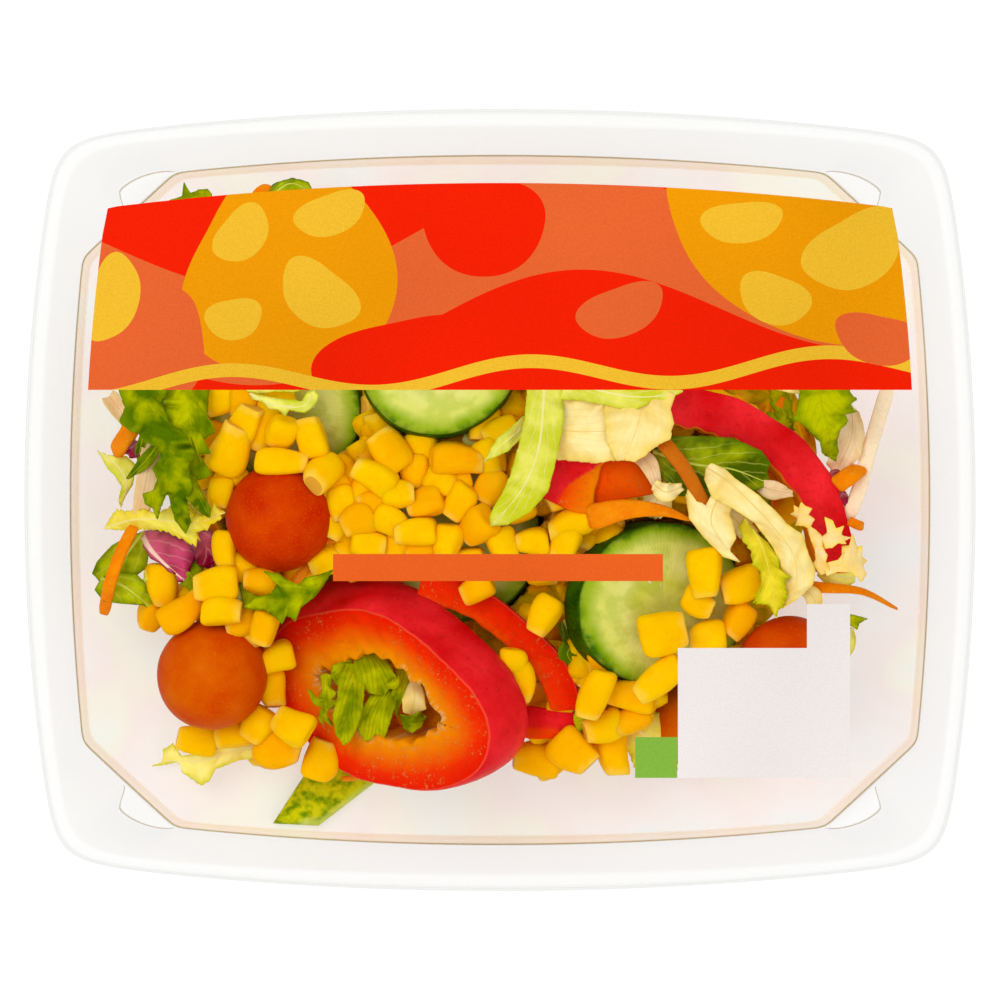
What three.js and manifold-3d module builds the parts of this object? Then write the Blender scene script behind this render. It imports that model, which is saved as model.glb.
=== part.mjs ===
// A sealed salad bowl: a clear thermoformed tub with bowed sides and chamfered
// floor corners, a clear film with its printed fields of colour sealed on the
// flange, and the mixed salad inside. Millimetres, +Z up, origin in the middle
// of the underside, long side along X.

import * as THREE from 'three';
import { mergeVertices } from 'three/addons/utils/BufferGeometryUtils.js';
import Module from 'manifold-3d';

// ---------------------------------------------------------------- tub

const FLANGE_TOP = 58; // height of the sealing flange
const WALL = 0.6; // sheet thickness
const FOOT_HEIGHT = 1.8; // where the floor's bevel meets the wall
const BEVEL_WIDTH = 2.2; // the bevel ring between the flat floor and the wall
const FLANGE_WIDTH = 4.4; // wall top to the rim's outer edge
const LIP_RADIUS = 1.2; // the rim's rolled edge
const LIP_DROP = 3; // how far the rim turns down

// An outline is the soft minimum of a bowed end, a bowed long side and, on the
// floor, a chamfer line square to chamferTurn degrees.
const RIM = { halfLength: 118, endRadius: 500, halfWidth: 97, sideRadius: 820, sharpness: 25 };
const FOOT = {
  halfLength: 109, endRadius: 597, halfWidth: 87.4, sideRadius: 774, sharpness: 200,
  chamferReach: 116.9, chamferTurn: 47.3,
};

// Denesting lugs: a ledge in each corner that swells out towards the long side.
const LUG = { height: 4, reach: 5.6, from: 37, peak: 39.3, to: 45.4 };

// Angles of the outline points in one quarter: [from, to, steps], closest where
// the corners and lugs are.
const QUARTER_STEPS = [[0, 28, 4], [28, 36, 4], [36, 48, 9], [48, 90, 6]];

// ---------------------------------------------------------------- film and print

const TOUCH_GAP = 0.1; // between pieces that lie on each other
const FILM = { inset: 1.2, thickness: 0.25 };
const PRINT_THICKNESS = 0.15;
const LABEL = { halfLength: 102.9, endRadius: 500, halfWidth: 78.6, sideRadius: 784, sharpness: 220 };
const BAND_BOTTOM = 27.3; // the coloured band covers the label above this line
const BAND_STEPS = 40;
const STRIP = { left: -41.4, right: 40.4, bottom: -20.1, top: -13.4 };
const PANEL = { left: 44.1, right: 86.8, bottom: -68.9, top: -36.7, tabLeft: 76.1, tabTop: -25.8 };
const SQUARE = { left: 33.5, right: 43.9, bottom: -68.9, top: -58.8 };

// ---------------------------------------------------------------- food

const CUT_GAP = 0.3; // left all round a piece that the heap is cut to hold

// lean tips a piece's top over by that many degrees, towards a compass angle
// counted from +X. The heap leaves an open piece's face free; of a sunk piece,
// it covers the half that lies lower than the piece's middle.
const TOMATOES = [
  { at: [-55.1, -4.4, 37.5], radius: 13.7 },
  { at: [-72.2, -43.9, 29], radius: 14.1 },
  { at: [72.4, -42.2, 34], radius: 13.4 },
  { at: [50, -56, 15.5], radius: 12 },
];
const TOMATO_FLATTENING = 0.95;

const PEPPERS = [
  // a whole ring, tipped so that its cut face and its red side both show; its wall is wider at the ends of its oval
  {
    at: [-25.8, -48.3, 29.5], radii: [25.6, 15.9], wall: 14.2, height: 16, arc: [0, 360], turn: -14,
    lean: 37, towards: 200, heap: 'open', lobes: 0.035, widerEnds: 0.15,
  },
  // part of a ring behind it
  { at: [-48.6, -54.7, 28.4], radii: [64.9, 37], wall: 8, height: 9, arc: [-2, 64] },
  // a long hook of a large pepper
  { at: [46, -20.6, 38.5], radii: [38.6, 43.2], wall: 10.8, height: 8.5, arc: [3, 152], lean: 9, towards: 0 },
];
const PEPPER_LOBES = 4;
const PEPPER_STEP = 11; // degrees between sections
const PEPPER_EDGE = 1.6; // chamfer along the section's edges

const CUCUMBERS = [
  { at: [-15.6, 35, 41], radius: 20, height: 7.5, lean: 10, towards: 90 },
  { at: [39.6, -26, 33], radius: 21.5, height: 9, lean: 24, towards: 350 },
  { at: [-11.2, -8.7, 16], radius: 22.4, height: 7.5, lean: 9, towards: 140, heap: 'sunk' },
  { at: [-53.8, 24, 27], radius: 20.5, height: 7.5, lean: 20, towards: 225, heap: 'sunk' },
];
const CUCUMBER_SIDES = 24;
const CUCUMBER_EDGE = 0.8;
// A wedge of cucumber side that lies on the floor: the corners of its outline.
const WEDGE = { corners: [[-57.6, -82], [-46, -82.6], [-25, -66.5], [-42, -58]], bottom: 0.9, top: 6.2 };

const HEAP = {
  centre: [-4, 4],
  outline: {
    halfLength: 96, endRadius: 400, halfWidth: 76, sideRadius: 500, sharpness: 16,
    chamferReach: 106, chamferTurn: 42,
  },
  waves: [[3, 0.022, 0.6], [5, 0.02, 2.1], [8, 0.016, 4.0], [13, 0.01, 1.2]], // count, depth, phase
  top: 35, // height of its middle
  edge: 5, // height at its outline
  shoulder: 8, // the higher, the further out the mound stays level
  lumps: { height: 1.8, across: 8.5, along: 6.7 },
  sides: 42,
  rings: [0.16, 0.32, 0.47, 0.6, 0.72, 0.82, 0.9, 0.96, 1],
};
const HEAP_RISE = 0.8; // how steeply the heap rises away from a piece that it leaves free

// ---------------------------------------------------------------- materials

const MATERIALS = {
  tub: { color: 0xf4f4f0, roughness: 0.12, opacity: 0.3 },
  film: { color: 0xfafaf8, roughness: 0.15, opacity: 0.2 },
  band: { color: 0xf03c05, roughness: 0.3 },
  strip: { color: 0xe66b3e, roughness: 0.3 },
  panel: { color: 0xefe9e5, roughness: 0.35 },
  square: { color: 0x82b446, roughness: 0.35 },
  salad: { color: 0xc8b428, roughness: 0.6 },
  tomato: { color: 0xd43f04, roughness: 0.25 },
  pepper: { color: 0xe01f18, roughness: 0.22 },
  cucumber: { color: 0xb8cf5e, roughness: 0.35 },
};

function material(slot) {
  const { color, roughness, opacity = 1 } = MATERIALS[slot];
  return new THREE.MeshStandardMaterial({ color, roughness, metalness: 0, opacity, transparent: opacity < 1 });
}

// ---------------------------------------------------------------- solids from points

const radians = THREE.MathUtils.degToRad;
const mix = THREE.MathUtils.lerp;

/** A geometry of the given points and triangles, turned inside out if its volume comes out negative. */
function solidFrom(points, triangles) {
  const [a, b, c] = [0, 1, 2].map(() => new THREE.Vector3());
  let volume = 0;
  for (let i = 0; i < triangles.length; i += 3) {
    a.fromArray(points[triangles[i]]);
    b.fromArray(points[triangles[i + 1]]);
    c.fromArray(points[triangles[i + 2]]);
    volume += a.dot(b.cross(c));
  }
  const index = volume < 0 ? [...triangles].reverse() : triangles;
  const geometry = new THREE.BufferGeometry();
  geometry.setAttribute('position', new THREE.Float32BufferAttribute(points.flat(), 3));
  geometry.setIndex(index);
  return geometry;
}

/** Triangles that join ring k to ring k + 1, both closed and with the same number of points. */
function ringWall(k, next, sides) {
  const triangles = [];
  for (let i = 0; i < sides; i++) {
    const j = (i + 1) % sides;
    triangles.push(k * sides + i, k * sides + j, next * sides + j);
    triangles.push(k * sides + i, next * sides + j, next * sides + i);
  }
  return triangles;
}

/** A solid lofted through closed rings of points, closed by a point at each end. */
function loft(rings, first, last) {
  const sides = rings[0].length;
  const points = [...rings.flat(), first, last];
  const firstIndex = points.length - 2;
  const lastIndex = points.length - 1;
  const lastRing = (rings.length - 1) * sides;
  const triangles = [];
  for (let k = 0; k + 1 < rings.length; k++) triangles.push(...ringWall(k, k + 1, sides));
  for (let i = 0; i < sides; i++) {
    const j = (i + 1) % sides;
    triangles.push(firstIndex, j, i);
    triangles.push(lastIndex, lastRing + i, lastRing + j);
  }
  return solidFrom(points, triangles);
}

/** A closed tube through rings whose last joins on to the first. */
function hoop(rings) {
  const sides = rings[0].length;
  const triangles = rings.flatMap((ring, k) => ringWall(k, (k + 1) % rings.length, sides));
  return solidFrom(rings.flat(), triangles);
}

// ---------------------------------------------------------------- outlines

/** Ray length from the centre to an arc that crosses an axis at reach; along is the ray's cosine to that axis. */
function rayToArc(along, reach, radius) {
  const back = radius - reach;
  return Math.sqrt(radius ** 2 - back ** 2 * (1 - along ** 2)) - back * along;
}

/** Ray length to an outline: the soft minimum of its end, its side and its chamfer. */
function outlineRadius(shape, angle) {
  const x = Math.abs(Math.cos(angle));
  const y = Math.abs(Math.sin(angle));
  const rays = [rayToArc(x, shape.halfLength, shape.endRadius), rayToArc(y, shape.halfWidth, shape.sideRadius)];
  if (shape.chamferReach) {
    const turn = radians(shape.chamferTurn);
    rays.push(shape.chamferReach / (x * Math.cos(turn) + y * Math.sin(turn)));
  }
  const nearest = Math.min(...rays);
  const sum = rays.reduce((total, ray) => total + (nearest / ray) ** shape.sharpness, 0);
  return nearest * sum ** (-1 / shape.sharpness);
}

/** The outline's angles all the way round, mirrored from one quarter to the others. */
function outlineAngles() {
  const quarter = QUARTER_STEPS.flatMap(([from, to, steps]) =>
    Array.from({ length: steps }, (_, i) => mix(from, to, i / steps)));
  const mirrored = quarter.slice(1).reverse().map((angle) => 180 - angle);
  const half = [...quarter, 90, ...mirrored];
  return [...half, ...half.map((angle) => angle + 180)].map(radians);
}

const ANGLES = outlineAngles();

/** A level ring of points at height z, with the radius that reach gives for each angle. */
function levelRing(reach, z, angles = ANGLES) {
  return angles.map((angle) => {
    const radius = reach(angle);
    return [radius * Math.cos(angle), radius * Math.sin(angle), z];
  });
}

// ---------------------------------------------------------------- tub

const rimReach = (angle) => outlineRadius(RIM, angle);
const footReach = (angle) => outlineRadius(FOOT, angle);

/** How far the denesting lug swells at this angle: up fast from the end side, down slowly to the long side. */
function lugSwell(angle) {
  const turn = THREE.MathUtils.radToDeg(Math.atan2(Math.abs(Math.sin(angle)), Math.abs(Math.cos(angle))));
  if (turn <= LUG.from || turn >= LUG.to) return 0;
  if (turn < LUG.peak) return LUG.reach * THREE.MathUtils.smoothstep(turn, LUG.from, LUG.peak);
  return LUG.reach * (1 - ((turn - LUG.peak) / (LUG.to - LUG.peak)) ** 2);
}

/** The wall's inner face: straight from the foot to the mouth, with the lug's swelling above its ledge. */
function wallReach(angle, z) {
  const rise = (z - FOOT_HEIGHT) / (FLANGE_TOP - FOOT_HEIGHT);
  const plain = mix(footReach(angle), rimReach(angle) - FLANGE_WIDTH, rise);
  if (z < LUG.height) return plain;
  return plain + lugSwell(angle) * (1 - (z - LUG.height) / (FLANGE_TOP - LUG.height));
}

function tub() {
  const wallHeights = [FOOT_HEIGHT, LUG.height - 0.7, LUG.height, FLANGE_TOP];
  const floor = levelRing((angle) => footReach(angle) - BEVEL_WIDTH, WALL);
  const inside = wallHeights.map((z) => levelRing((angle) => wallReach(angle, z), z));
  const rim = (inset, drop) => levelRing((angle) => rimReach(angle) - inset, FLANGE_TOP - drop);
  const lip = [
    rim(LIP_RADIUS, 0),
    rim(LIP_RADIUS * 0.3, LIP_RADIUS * 0.3),
    rim(0, LIP_RADIUS),
    rim(0, LIP_DROP),
    rim(WALL, LIP_DROP),
    rim(WALL, LIP_RADIUS + WALL / 2),
    rim(LIP_RADIUS + WALL / 2, WALL),
    levelRing((angle) => wallReach(angle, FLANGE_TOP) + WALL, FLANGE_TOP - WALL),
  ];
  const outside = wallHeights.slice(0, -1).reverse()
    .map((z) => levelRing((angle) => wallReach(angle, z) + WALL, z - WALL));
  const underside = levelRing((angle) => footReach(angle) - BEVEL_WIDTH + WALL / 2, 0);
  return loft([floor, ...inside, ...lip, ...outside, underside], [0, 0, WALL], [0, 0, 0]);
}

// ---------------------------------------------------------------- film and print

/** A flat plate of an outline given as a ring of [x, y] points round the point middle. */
function plate(outline, middle, bottom, thickness) {
  const at = (z) => outline.map(([x, y]) => [x, y, z]);
  return loft([at(bottom), at(bottom + thickness)], [...middle, bottom], [...middle, bottom + thickness]);
}

const FILM_BOTTOM = FLANGE_TOP + TOUCH_GAP;
const PRINT_BOTTOM = FILM_BOTTOM + FILM.thickness + TOUCH_GAP;

function film() {
  const outline = levelRing((angle) => rimReach(angle) - FILM.inset, 0);
  return plate(outline, [0, 0], FILM_BOTTOM, FILM.thickness);
}

/** The band is the label's outline cut off level at BAND_BOTTOM. */
function labelBand() {
  const reach = (angle) => outlineRadius(LABEL, angle);
  const endAngle = Math.atan2(BAND_BOTTOM, LABEL.halfLength - 0.75);
  const angles = Array.from({ length: BAND_STEPS + 1 }, (_, i) => {
    const even = i / BAND_STEPS;
    return mix(endAngle, Math.PI - endAngle, even);
  });
  const corner = Math.atan2(LABEL.halfWidth - 6.1, LABEL.halfLength - 5.4);
  angles.push(corner, Math.PI - corner);
  angles.sort((a, b) => a - b);
  const outline = levelRing(reach, 0, angles).map(([x, y]) => [x, Math.max(y, BAND_BOTTOM)]);
  return plate(outline, [0, (BAND_BOTTOM + LABEL.halfWidth) / 2], PRINT_BOTTOM, PRINT_THICKNESS);
}

function rectangle({ left, right, bottom, top }) {
  const outline = [[left, bottom], [right, bottom], [right, top], [left, top]];
  return plate(outline, [(left + right) / 2, (bottom + top) / 2], PRINT_BOTTOM, PRINT_THICKNESS);
}

/** The pale panel for the date, with a tab that stands up at its right. */
function datePanel() {
  const { left, right, bottom, top, tabLeft, tabTop } = PANEL;
  const outline = [[left, bottom], [right, bottom], [right, tabTop], [tabLeft, tabTop], [tabLeft, top], [left, top]];
  const middle = [(tabLeft + right) / 2, (bottom + top) / 2];
  return plate(outline, middle, PRINT_BOTTOM, PRINT_THICKNESS);
}

// ---------------------------------------------------------------- toppings

/** A tomato, slightly flattened; grow adds the gap that the heap keeps to it. */
function tomato({ radius }, grow = 0) {
  const geometry = new THREE.SphereGeometry(radius + grow, 16, 10);
  geometry.rotateX(Math.PI / 2);
  geometry.scale(1, 1, TOMATO_FLATTENING);
  return geometry;
}

/** A section of pepper wall: a rectangle with chamfered edges, as [outwards, up] offsets. */
function pepperSection(wall, height) {
  const [a, b] = [wall / 2, height / 2];
  const [c, d] = [a - PEPPER_EDGE, b - PEPPER_EDGE];
  return [[a, -d], [a, d], [c, b], [-c, b], [-a, d], [-a, -d], [-c, -b], [c, -b]];
}

/** The wall of a pepper ring carried round an oval with lobes, whole or from one angle to another, and turned. */
function pepper({ radii, wall, height, arc, turn = 0, lobes = 0, widerEnds = 0 }, grow = 0) {
  const whole = arc[1] - arc[0] === 360;
  const extra = whole ? 0 : THREE.MathUtils.radToDeg(grow / radii[0]);
  const from = arc[0] - extra;
  const steps = Math.max(10, Math.round((arc[1] - arc[0]) / PEPPER_STEP));
  const step = (arc[1] - arc[0] + 2 * extra) / steps;
  const path = (degrees) => {
    const angle = radians(degrees);
    const swell = 1 + lobes * Math.cos(PEPPER_LOBES * angle);
    return new THREE.Vector2(radii[0] * swell * Math.cos(angle), radii[1] * swell * Math.sin(angle));
  };
  const section = pepperSection(wall + 2 * grow, height + 2 * grow);
  const ringAt = (degrees) => {
    const here = path(degrees);
    const ahead = path(degrees + 1).sub(path(degrees - 1)).normalize();
    const widening = 1 + widerEnds * Math.cos(2 * radians(degrees));
    return section.map(([out, up]) => [here.x + out * widening * ahead.y, here.y - out * widening * ahead.x, up]);
  };
  const count = whole ? steps : steps + 1;
  const rings = Array.from({ length: count }, (_, i) => ringAt(from + i * step));
  if (whole) return hoop(rings).rotateZ(radians(turn));
  const end = (degrees) => [...path(degrees).toArray(), 0];
  return loft(rings, end(from), end(from + steps * step));
}

/** A round slice of cucumber, turned about its axis, with slightly rounded edges. */
function cucumber({ radius, height }, grow = 0) {
  const r = radius + grow;
  const h = height / 2 + grow;
  const profile = [[0, -h], [r - CUCUMBER_EDGE, -h], [r, CUCUMBER_EDGE - h], [r, h - CUCUMBER_EDGE],
    [r - CUCUMBER_EDGE, h], [0, h]].map(([x, y]) => new THREE.Vector2(x, y));
  const geometry = new THREE.LatheGeometry(profile, CUCUMBER_SIDES);
  geometry.rotateX(Math.PI / 2);
  return geometry;
}

function cucumberWedge(grow = 0) {
  const middle = [0, 1].map((k) => WEDGE.corners.reduce((sum, corner) => sum + corner[k], 0) / WEDGE.corners.length);
  const outline = WEDGE.corners.map((corner) => {
    const out = new THREE.Vector2(corner[0] - middle[0], corner[1] - middle[1]);
    out.setLength(out.length() + grow * Math.SQRT2);
    return [middle[0] + out.x, middle[1] + out.y];
  });
  return plate(outline, middle, WEDGE.bottom - grow, WEDGE.top - WEDGE.bottom + 2 * grow);
}

// ---------------------------------------------------------------- heap

/** How high the heap may be over a point next to a piece that it leaves free. */
function freeHeight({ at, height, lean, towards, heap, radius, radii, wall }, x, y) {
  const [east, north] = [x - at[0], y - at[1]];
  const uphill = -east * Math.cos(radians(towards)) - north * Math.sin(radians(towards));
  const face = at[2] + height / 2 + uphill * Math.tan(radians(lean));
  const level = heap === 'sunk' ? Math.max(face, at[2] + height / 2) : face;
  const spread = radius ?? radii[0] + wall / 2;
  return level + HEAP_RISE * Math.max(0, Math.hypot(east, north) - spread * Math.cos(radians(lean)));
}

/** Height of the heap: a flat-topped mound with lumps, lower next to the pieces that it leaves free. */
function heapHeight(x, y, share) {
  const { top, edge, shoulder, lumps } = HEAP;
  const mound = edge + (top - edge) * (1 - share ** shoulder);
  const lumpy = lumps.height * Math.sin(x / lumps.across + 1) * Math.cos(y / lumps.along) * (1 - share ** 2);
  const free = [...PEPPERS, ...CUCUMBERS].filter((piece) => piece.heap).map((piece) => freeHeight(piece, x, y));
  return Math.min(mound + lumpy, ...free);
}

function heapMound() {
  const { centre, outline, waves, sides } = HEAP;
  const angles = Array.from({ length: sides }, (_, i) => (2 * Math.PI * i) / sides);
  const reach = (angle) => {
    const uneven = waves.reduce((sum, [count, depth, phase]) => sum + depth * Math.sin(count * angle + phase), 1);
    return outlineRadius(outline, angle) * uneven;
  };
  const ring = (share, height) => angles.map((angle) => {
    const x = centre[0] + share * reach(angle) * Math.cos(angle);
    const y = centre[1] + share * reach(angle) * Math.sin(angle);
    return [x, y, height(x, y)];
  });
  const surface = HEAP.rings.map((share) => ring(share, (x, y) => heapHeight(x, y, share)));
  const floor = WALL + TOUCH_GAP;
  const middle = [...centre, heapHeight(...centre, 0)];
  return loft([...surface, ring(1, () => floor)], middle, [...centre, floor]);
}

// ---------------------------------------------------------------- cutting

const wasm = await Module();
wasm.setup();

function toManifold(geometry) {
  const plain = geometry.clone();
  plain.deleteAttribute('normal');
  plain.deleteAttribute('uv');
  const merged = mergeVertices(plain, 1e-5);
  const vertProperties = new Float32Array(merged.attributes.position.array);
  const triVerts = new Uint32Array(merged.index.array);
  return new wasm.Manifold(new wasm.Mesh({ numProp: 3, vertProperties, triVerts }));
}

function fromManifold(solid) {
  const { vertProperties, triVerts } = solid.getMesh();
  const geometry = new THREE.BufferGeometry();
  geometry.setAttribute('position', new THREE.Float32BufferAttribute(vertProperties, 3));
  geometry.setIndex([...triVerts]);
  return geometry;
}

// ---------------------------------------------------------------- assembly

const group = new THREE.Group();

function addMesh(name, geometry, slot) {
  const mesh = new THREE.Mesh(geometry, material(slot));
  mesh.name = name;
  group.add(mesh);
  return mesh;
}

/** Puts a piece at its place, its top leaning over towards a compass angle. */
function place(object, { at, lean = 0, towards = 0 }) {
  const axis = new THREE.Vector3(-Math.sin(radians(towards)), Math.cos(radians(towards)), 0);
  object.position.set(...at);
  object.quaternion.setFromAxisAngle(axis, radians(lean));
  object.updateMatrix();
  return object;
}

/** The pieces that the heap is cut round, each as its builder, its sizes and its names. */
const TOPPINGS = [
  { name: 'cherry_tomato', build: tomato, pieces: TOMATOES, slot: 'tomato' },
  { name: 'pepper_ring', build: pepper, pieces: PEPPERS, slot: 'pepper' },
  { name: 'cucumber_slice', build: cucumber, pieces: CUCUMBERS, slot: 'cucumber' },
];

function addToppings() {
  for (const { name, build, pieces, slot } of TOPPINGS) {
    pieces.forEach((piece, i) => place(addMesh(`${name}_${i + 1}`, build(piece), slot), piece));
  }
  addMesh('cucumber_wedge', cucumberWedge(), 'cucumber');
}

function addHeap() {
  let heap = toManifold(heapMound()).subtract(toManifold(cucumberWedge(CUT_GAP)));
  for (const { build, pieces } of TOPPINGS) {
    for (const piece of pieces) {
      const { matrix } = place(new THREE.Object3D(), piece);
      heap = heap.subtract(toManifold(build(piece, CUT_GAP).applyMatrix4(matrix)));
    }
  }
  addMesh('salad_heap', fromManifold(heap), 'salad');
}

addMesh('tub', tub(), 'tub');
addMesh('lid_film', film(), 'film');
addMesh('label_band', labelBand(), 'band');
addMesh('label_strip', rectangle(STRIP), 'strip');
addMesh('label_panel', datePanel(), 'panel');
addMesh('label_square', rectangle(SQUARE), 'square');
addToppings();
addHeap();

export default group;
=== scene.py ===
"""The looks of a sealed salad bowl: a clear tub, mixed salad and a clear film with its fields of print.

Lengths are in millimetres until a mesh is made. East is +X, north is +Y, and the pack lies on its floor.
"""

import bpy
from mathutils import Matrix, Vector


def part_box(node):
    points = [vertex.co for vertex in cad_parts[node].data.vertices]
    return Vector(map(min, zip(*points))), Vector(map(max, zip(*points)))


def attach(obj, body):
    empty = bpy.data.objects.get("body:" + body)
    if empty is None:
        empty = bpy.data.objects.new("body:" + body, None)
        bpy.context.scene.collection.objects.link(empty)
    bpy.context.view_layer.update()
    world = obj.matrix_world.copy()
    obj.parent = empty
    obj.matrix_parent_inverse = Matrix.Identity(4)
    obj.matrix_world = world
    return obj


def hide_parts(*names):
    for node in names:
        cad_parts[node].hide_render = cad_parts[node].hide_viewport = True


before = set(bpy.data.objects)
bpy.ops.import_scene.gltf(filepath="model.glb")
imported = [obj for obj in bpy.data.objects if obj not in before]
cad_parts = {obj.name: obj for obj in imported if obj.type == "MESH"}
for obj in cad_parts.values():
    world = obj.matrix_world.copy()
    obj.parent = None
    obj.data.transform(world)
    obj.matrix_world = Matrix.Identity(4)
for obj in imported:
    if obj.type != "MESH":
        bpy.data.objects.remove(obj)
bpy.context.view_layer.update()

import math

import bpy
import numpy as np

MM = 0.001
TURN = 2 * math.pi


# ---------------------------------------------------------------- sizes of the pack

def box_mm(node):
    """A node's lowest and highest corners in millimetres."""
    return [np.array(corner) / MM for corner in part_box(node)]


TUB_HIGH = box_mm("tub")[1]
FLANGE_TOP = TUB_HIGH[2]
WALL = 0.6  # sheet thickness
FOOT_HEIGHT = 1.8  # where the floor's bevel meets the wall
BEVEL_WIDTH = 2.2
FLANGE_WIDTH = 4.4
LIP_RADIUS = 1.2
LIP_DROP = 3
RIM = {
    "half_length": TUB_HIGH[0], "end_radius": 500, "half_width": TUB_HIGH[1], "side_radius": 820,
    "sharpness": 25,
}
FOOT = {
    "half_length": TUB_HIGH[0] - 9, "end_radius": 597, "half_width": TUB_HIGH[1] - 9.6, "side_radius": 774,
    "sharpness": 200, "chamfer_reach": 116.9, "chamfer_turn": 47.3,
}
LUG = {"height": 4, "reach": 5.6, "from": 37, "peak": 39.3, "to": 45.4}
HEAP_MIDDLE = (-4, 4)
HEAP_HALF = (95, 75)
HEAP_SQUARENESS = 3.2
HEAP_EDGE = 7  # height of its top layer at its outline
HEAP_RISE = 33  # and how much more that is in the middle
CORE_HALF = (80, 60)
CORE_DEPTH = 9.5  # how far the core lies under the top layer, before its lumps
NOTHING_OVER = 60  # height over a place where no topping lies


# ---------------------------------------------------------------- numbers and curves

def smoothed(low, high, value):
    """0 below low, 1 above high and 3t^2 - 2t^3 between them."""
    t = np.clip((value - low) / (high - low), 0, 1)
    return t * t * (3 - 2 * t)


def curve_through(points, count):
    """Catmull-Rom curve through the points, read at count places an even share of the points apart."""
    points = np.asarray(points, float)
    points = points.reshape(len(points), -1)
    padded = np.vstack([2 * points[0] - points[1], points, 2 * points[-1] - points[-2]])
    place = np.linspace(0, len(points) - 1, count)
    first = np.minimum(place.astype(int), len(points) - 2)
    t = (place - first)[:, None]
    a, b, c, d = (padded[first + k] for k in range(4))
    return 0.5 * (2 * b + (c - a) * t + (2 * a - 5 * b + 4 * c - d) * t**2 + (3 * b - a - 3 * c + d) * t**3)


def ripples(rng, x, y, across, count=7):
    """Sum of count sine waves of random direction, each about across millimetres long, from -1 to 1."""
    turns = rng.uniform(0, TURN, count)
    waves = TURN / (across * rng.uniform(0.6, 1.7, count))
    phases = rng.uniform(0, TURN, count)
    total = 0
    for turn, wave, phase in zip(turns, waves, phases):
        total = total + np.sin(wave * (x * math.cos(turn) + y * math.sin(turn)) + phase)
    return total / count**0.5 / 1.4


def angles_round(count):
    """Even angles, in radians, once round from east."""
    return np.arange(count) * TURN / count


def unit(vectors):
    """Vectors of length 1 along the last axis."""
    return vectors / np.maximum(np.linalg.norm(vectors, axis=-1, keepdims=True), 1e-9)


def turned(points, axis, degrees):
    """Points turned about an axis through the origin: Rodrigues' formula."""
    axis = unit(np.asarray(axis, float))
    cosine, sine = math.cos(math.radians(degrees)), math.sin(math.radians(degrees))
    along = np.sum(points * axis, axis=-1, keepdims=True)
    return points * cosine + np.cross(axis, points) * sine + axis * along * (1 - cosine)


def leaned(points, at, lean=0, towards=0):
    """Points put at a place, their top leaning over by lean degrees towards a compass angle from east."""
    compass = math.radians(towards)
    return turned(points, (-math.sin(compass), math.cos(compass), 0), lean) + np.array(at, float)


# ---------------------------------------------------------------- outlines

def ray_to_arc(along, reach, radius):
    """Ray length to an arc that crosses an axis at reach; along is the ray's cosine to that axis."""
    back = radius - reach
    return np.sqrt(radius**2 - back**2 * (1 - along**2)) - back * along


def outline_reach(shape, angle):
    """Soft minimum of the rays to a bowed end, a bowed long side and, where there is one, a chamfer line."""
    east, north = np.abs(np.cos(angle)), np.abs(np.sin(angle))
    rays = [
        ray_to_arc(east, shape["half_length"], shape["end_radius"]),
        ray_to_arc(north, shape["half_width"], shape["side_radius"]),
    ]
    if "chamfer_reach" in shape:
        chamfer = math.radians(shape["chamfer_turn"])
        rays.append(shape["chamfer_reach"] / (east * math.cos(chamfer) + north * math.sin(chamfer)))
    nearest = np.min(rays, axis=0)
    total = sum((nearest / ray) ** shape["sharpness"] for ray in rays)
    return nearest * total ** (-1 / shape["sharpness"])


# ---------------------------------------------------------------- meshes from arrays

def quad_faces(rows, columns, wrap_rows=False, wrap_columns=False):
    """Corner indices of the faces of a grid of rows x columns points, joined round where it wraps."""
    here = np.arange(rows if wrap_rows else rows - 1)[:, None] * columns
    below = (here + columns) % (rows * columns)
    column = np.arange(columns if wrap_columns else columns - 1)[None, :]
    beside = (column + 1) % columns
    corners = [here + column, here + beside, below + beside, below + column]
    return np.stack(np.broadcast_arrays(*corners), axis=-1).reshape(-1, 4)


def patch(points, quads, triangles, fields):
    """A stretch of mesh: its points, faces and one number a point for each named field."""
    return {"points": points, "quads": quads, "triangles": triangles, "fields": fields}


def sheet(grid, **fields):
    """An open surface on a grid of points; the piece's wall thickness comes from its Solidify modifier."""
    rows, columns = grid.shape[:2]
    spread = {name: np.broadcast_to(value, (rows, columns)).ravel() for name, value in fields.items()}
    return patch(grid.reshape(-1, 3), quad_faces(rows, columns), np.zeros((0, 3), int), spread)


def volume_of(points, quads, triangles):
    """Volume inside the faces: a sixth of the sum of their corners' triple products."""
    split = np.vstack([quads[:, [0, 1, 2]], quads[:, [0, 2, 3]], triangles])
    a, b, c = (points[split[:, k]] for k in range(3))
    return np.sum(a * np.cross(b, c)) / 6


def lofted(rings, hoop=False, **fields):
    """A closed skin through closed rings of points (rings, sides, 3). Each end is drawn in to the middle of
    its ring, or, for a hoop, the last ring joins the first. Its faces point out."""
    count, sides = rings.shape[:2]
    points = rings.reshape(-1, 3)
    quads = quad_faces(count, sides, wrap_rows=hoop, wrap_columns=True)
    triangles = np.zeros((0, 3), int)
    spread = {name: np.broadcast_to(value, (count, sides)).ravel() for name, value in fields.items()}
    if not hoop:
        first, last = len(points), len(points) + 1
        side = np.arange(sides)
        beside = (side + 1) % sides
        top = (count - 1) * sides
        triangles = np.vstack([
            np.stack([np.full(sides, first), beside, side], axis=1),
            np.stack([np.full(sides, last), top + side, top + beside], axis=1),
        ])
        points = np.vstack([points, rings[0].mean(axis=0), rings[-1].mean(axis=0)])
        spread = {
            name: np.concatenate([value, [value[:sides].mean(), value[-sides:].mean()]])
            for name, value in spread.items()
        }
    if volume_of(points - points.mean(axis=0), quads, triangles) < 0:
        quads, triangles = quads[:, ::-1], triangles[:, ::-1]
    return patch(points, quads, triangles, spread)


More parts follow.
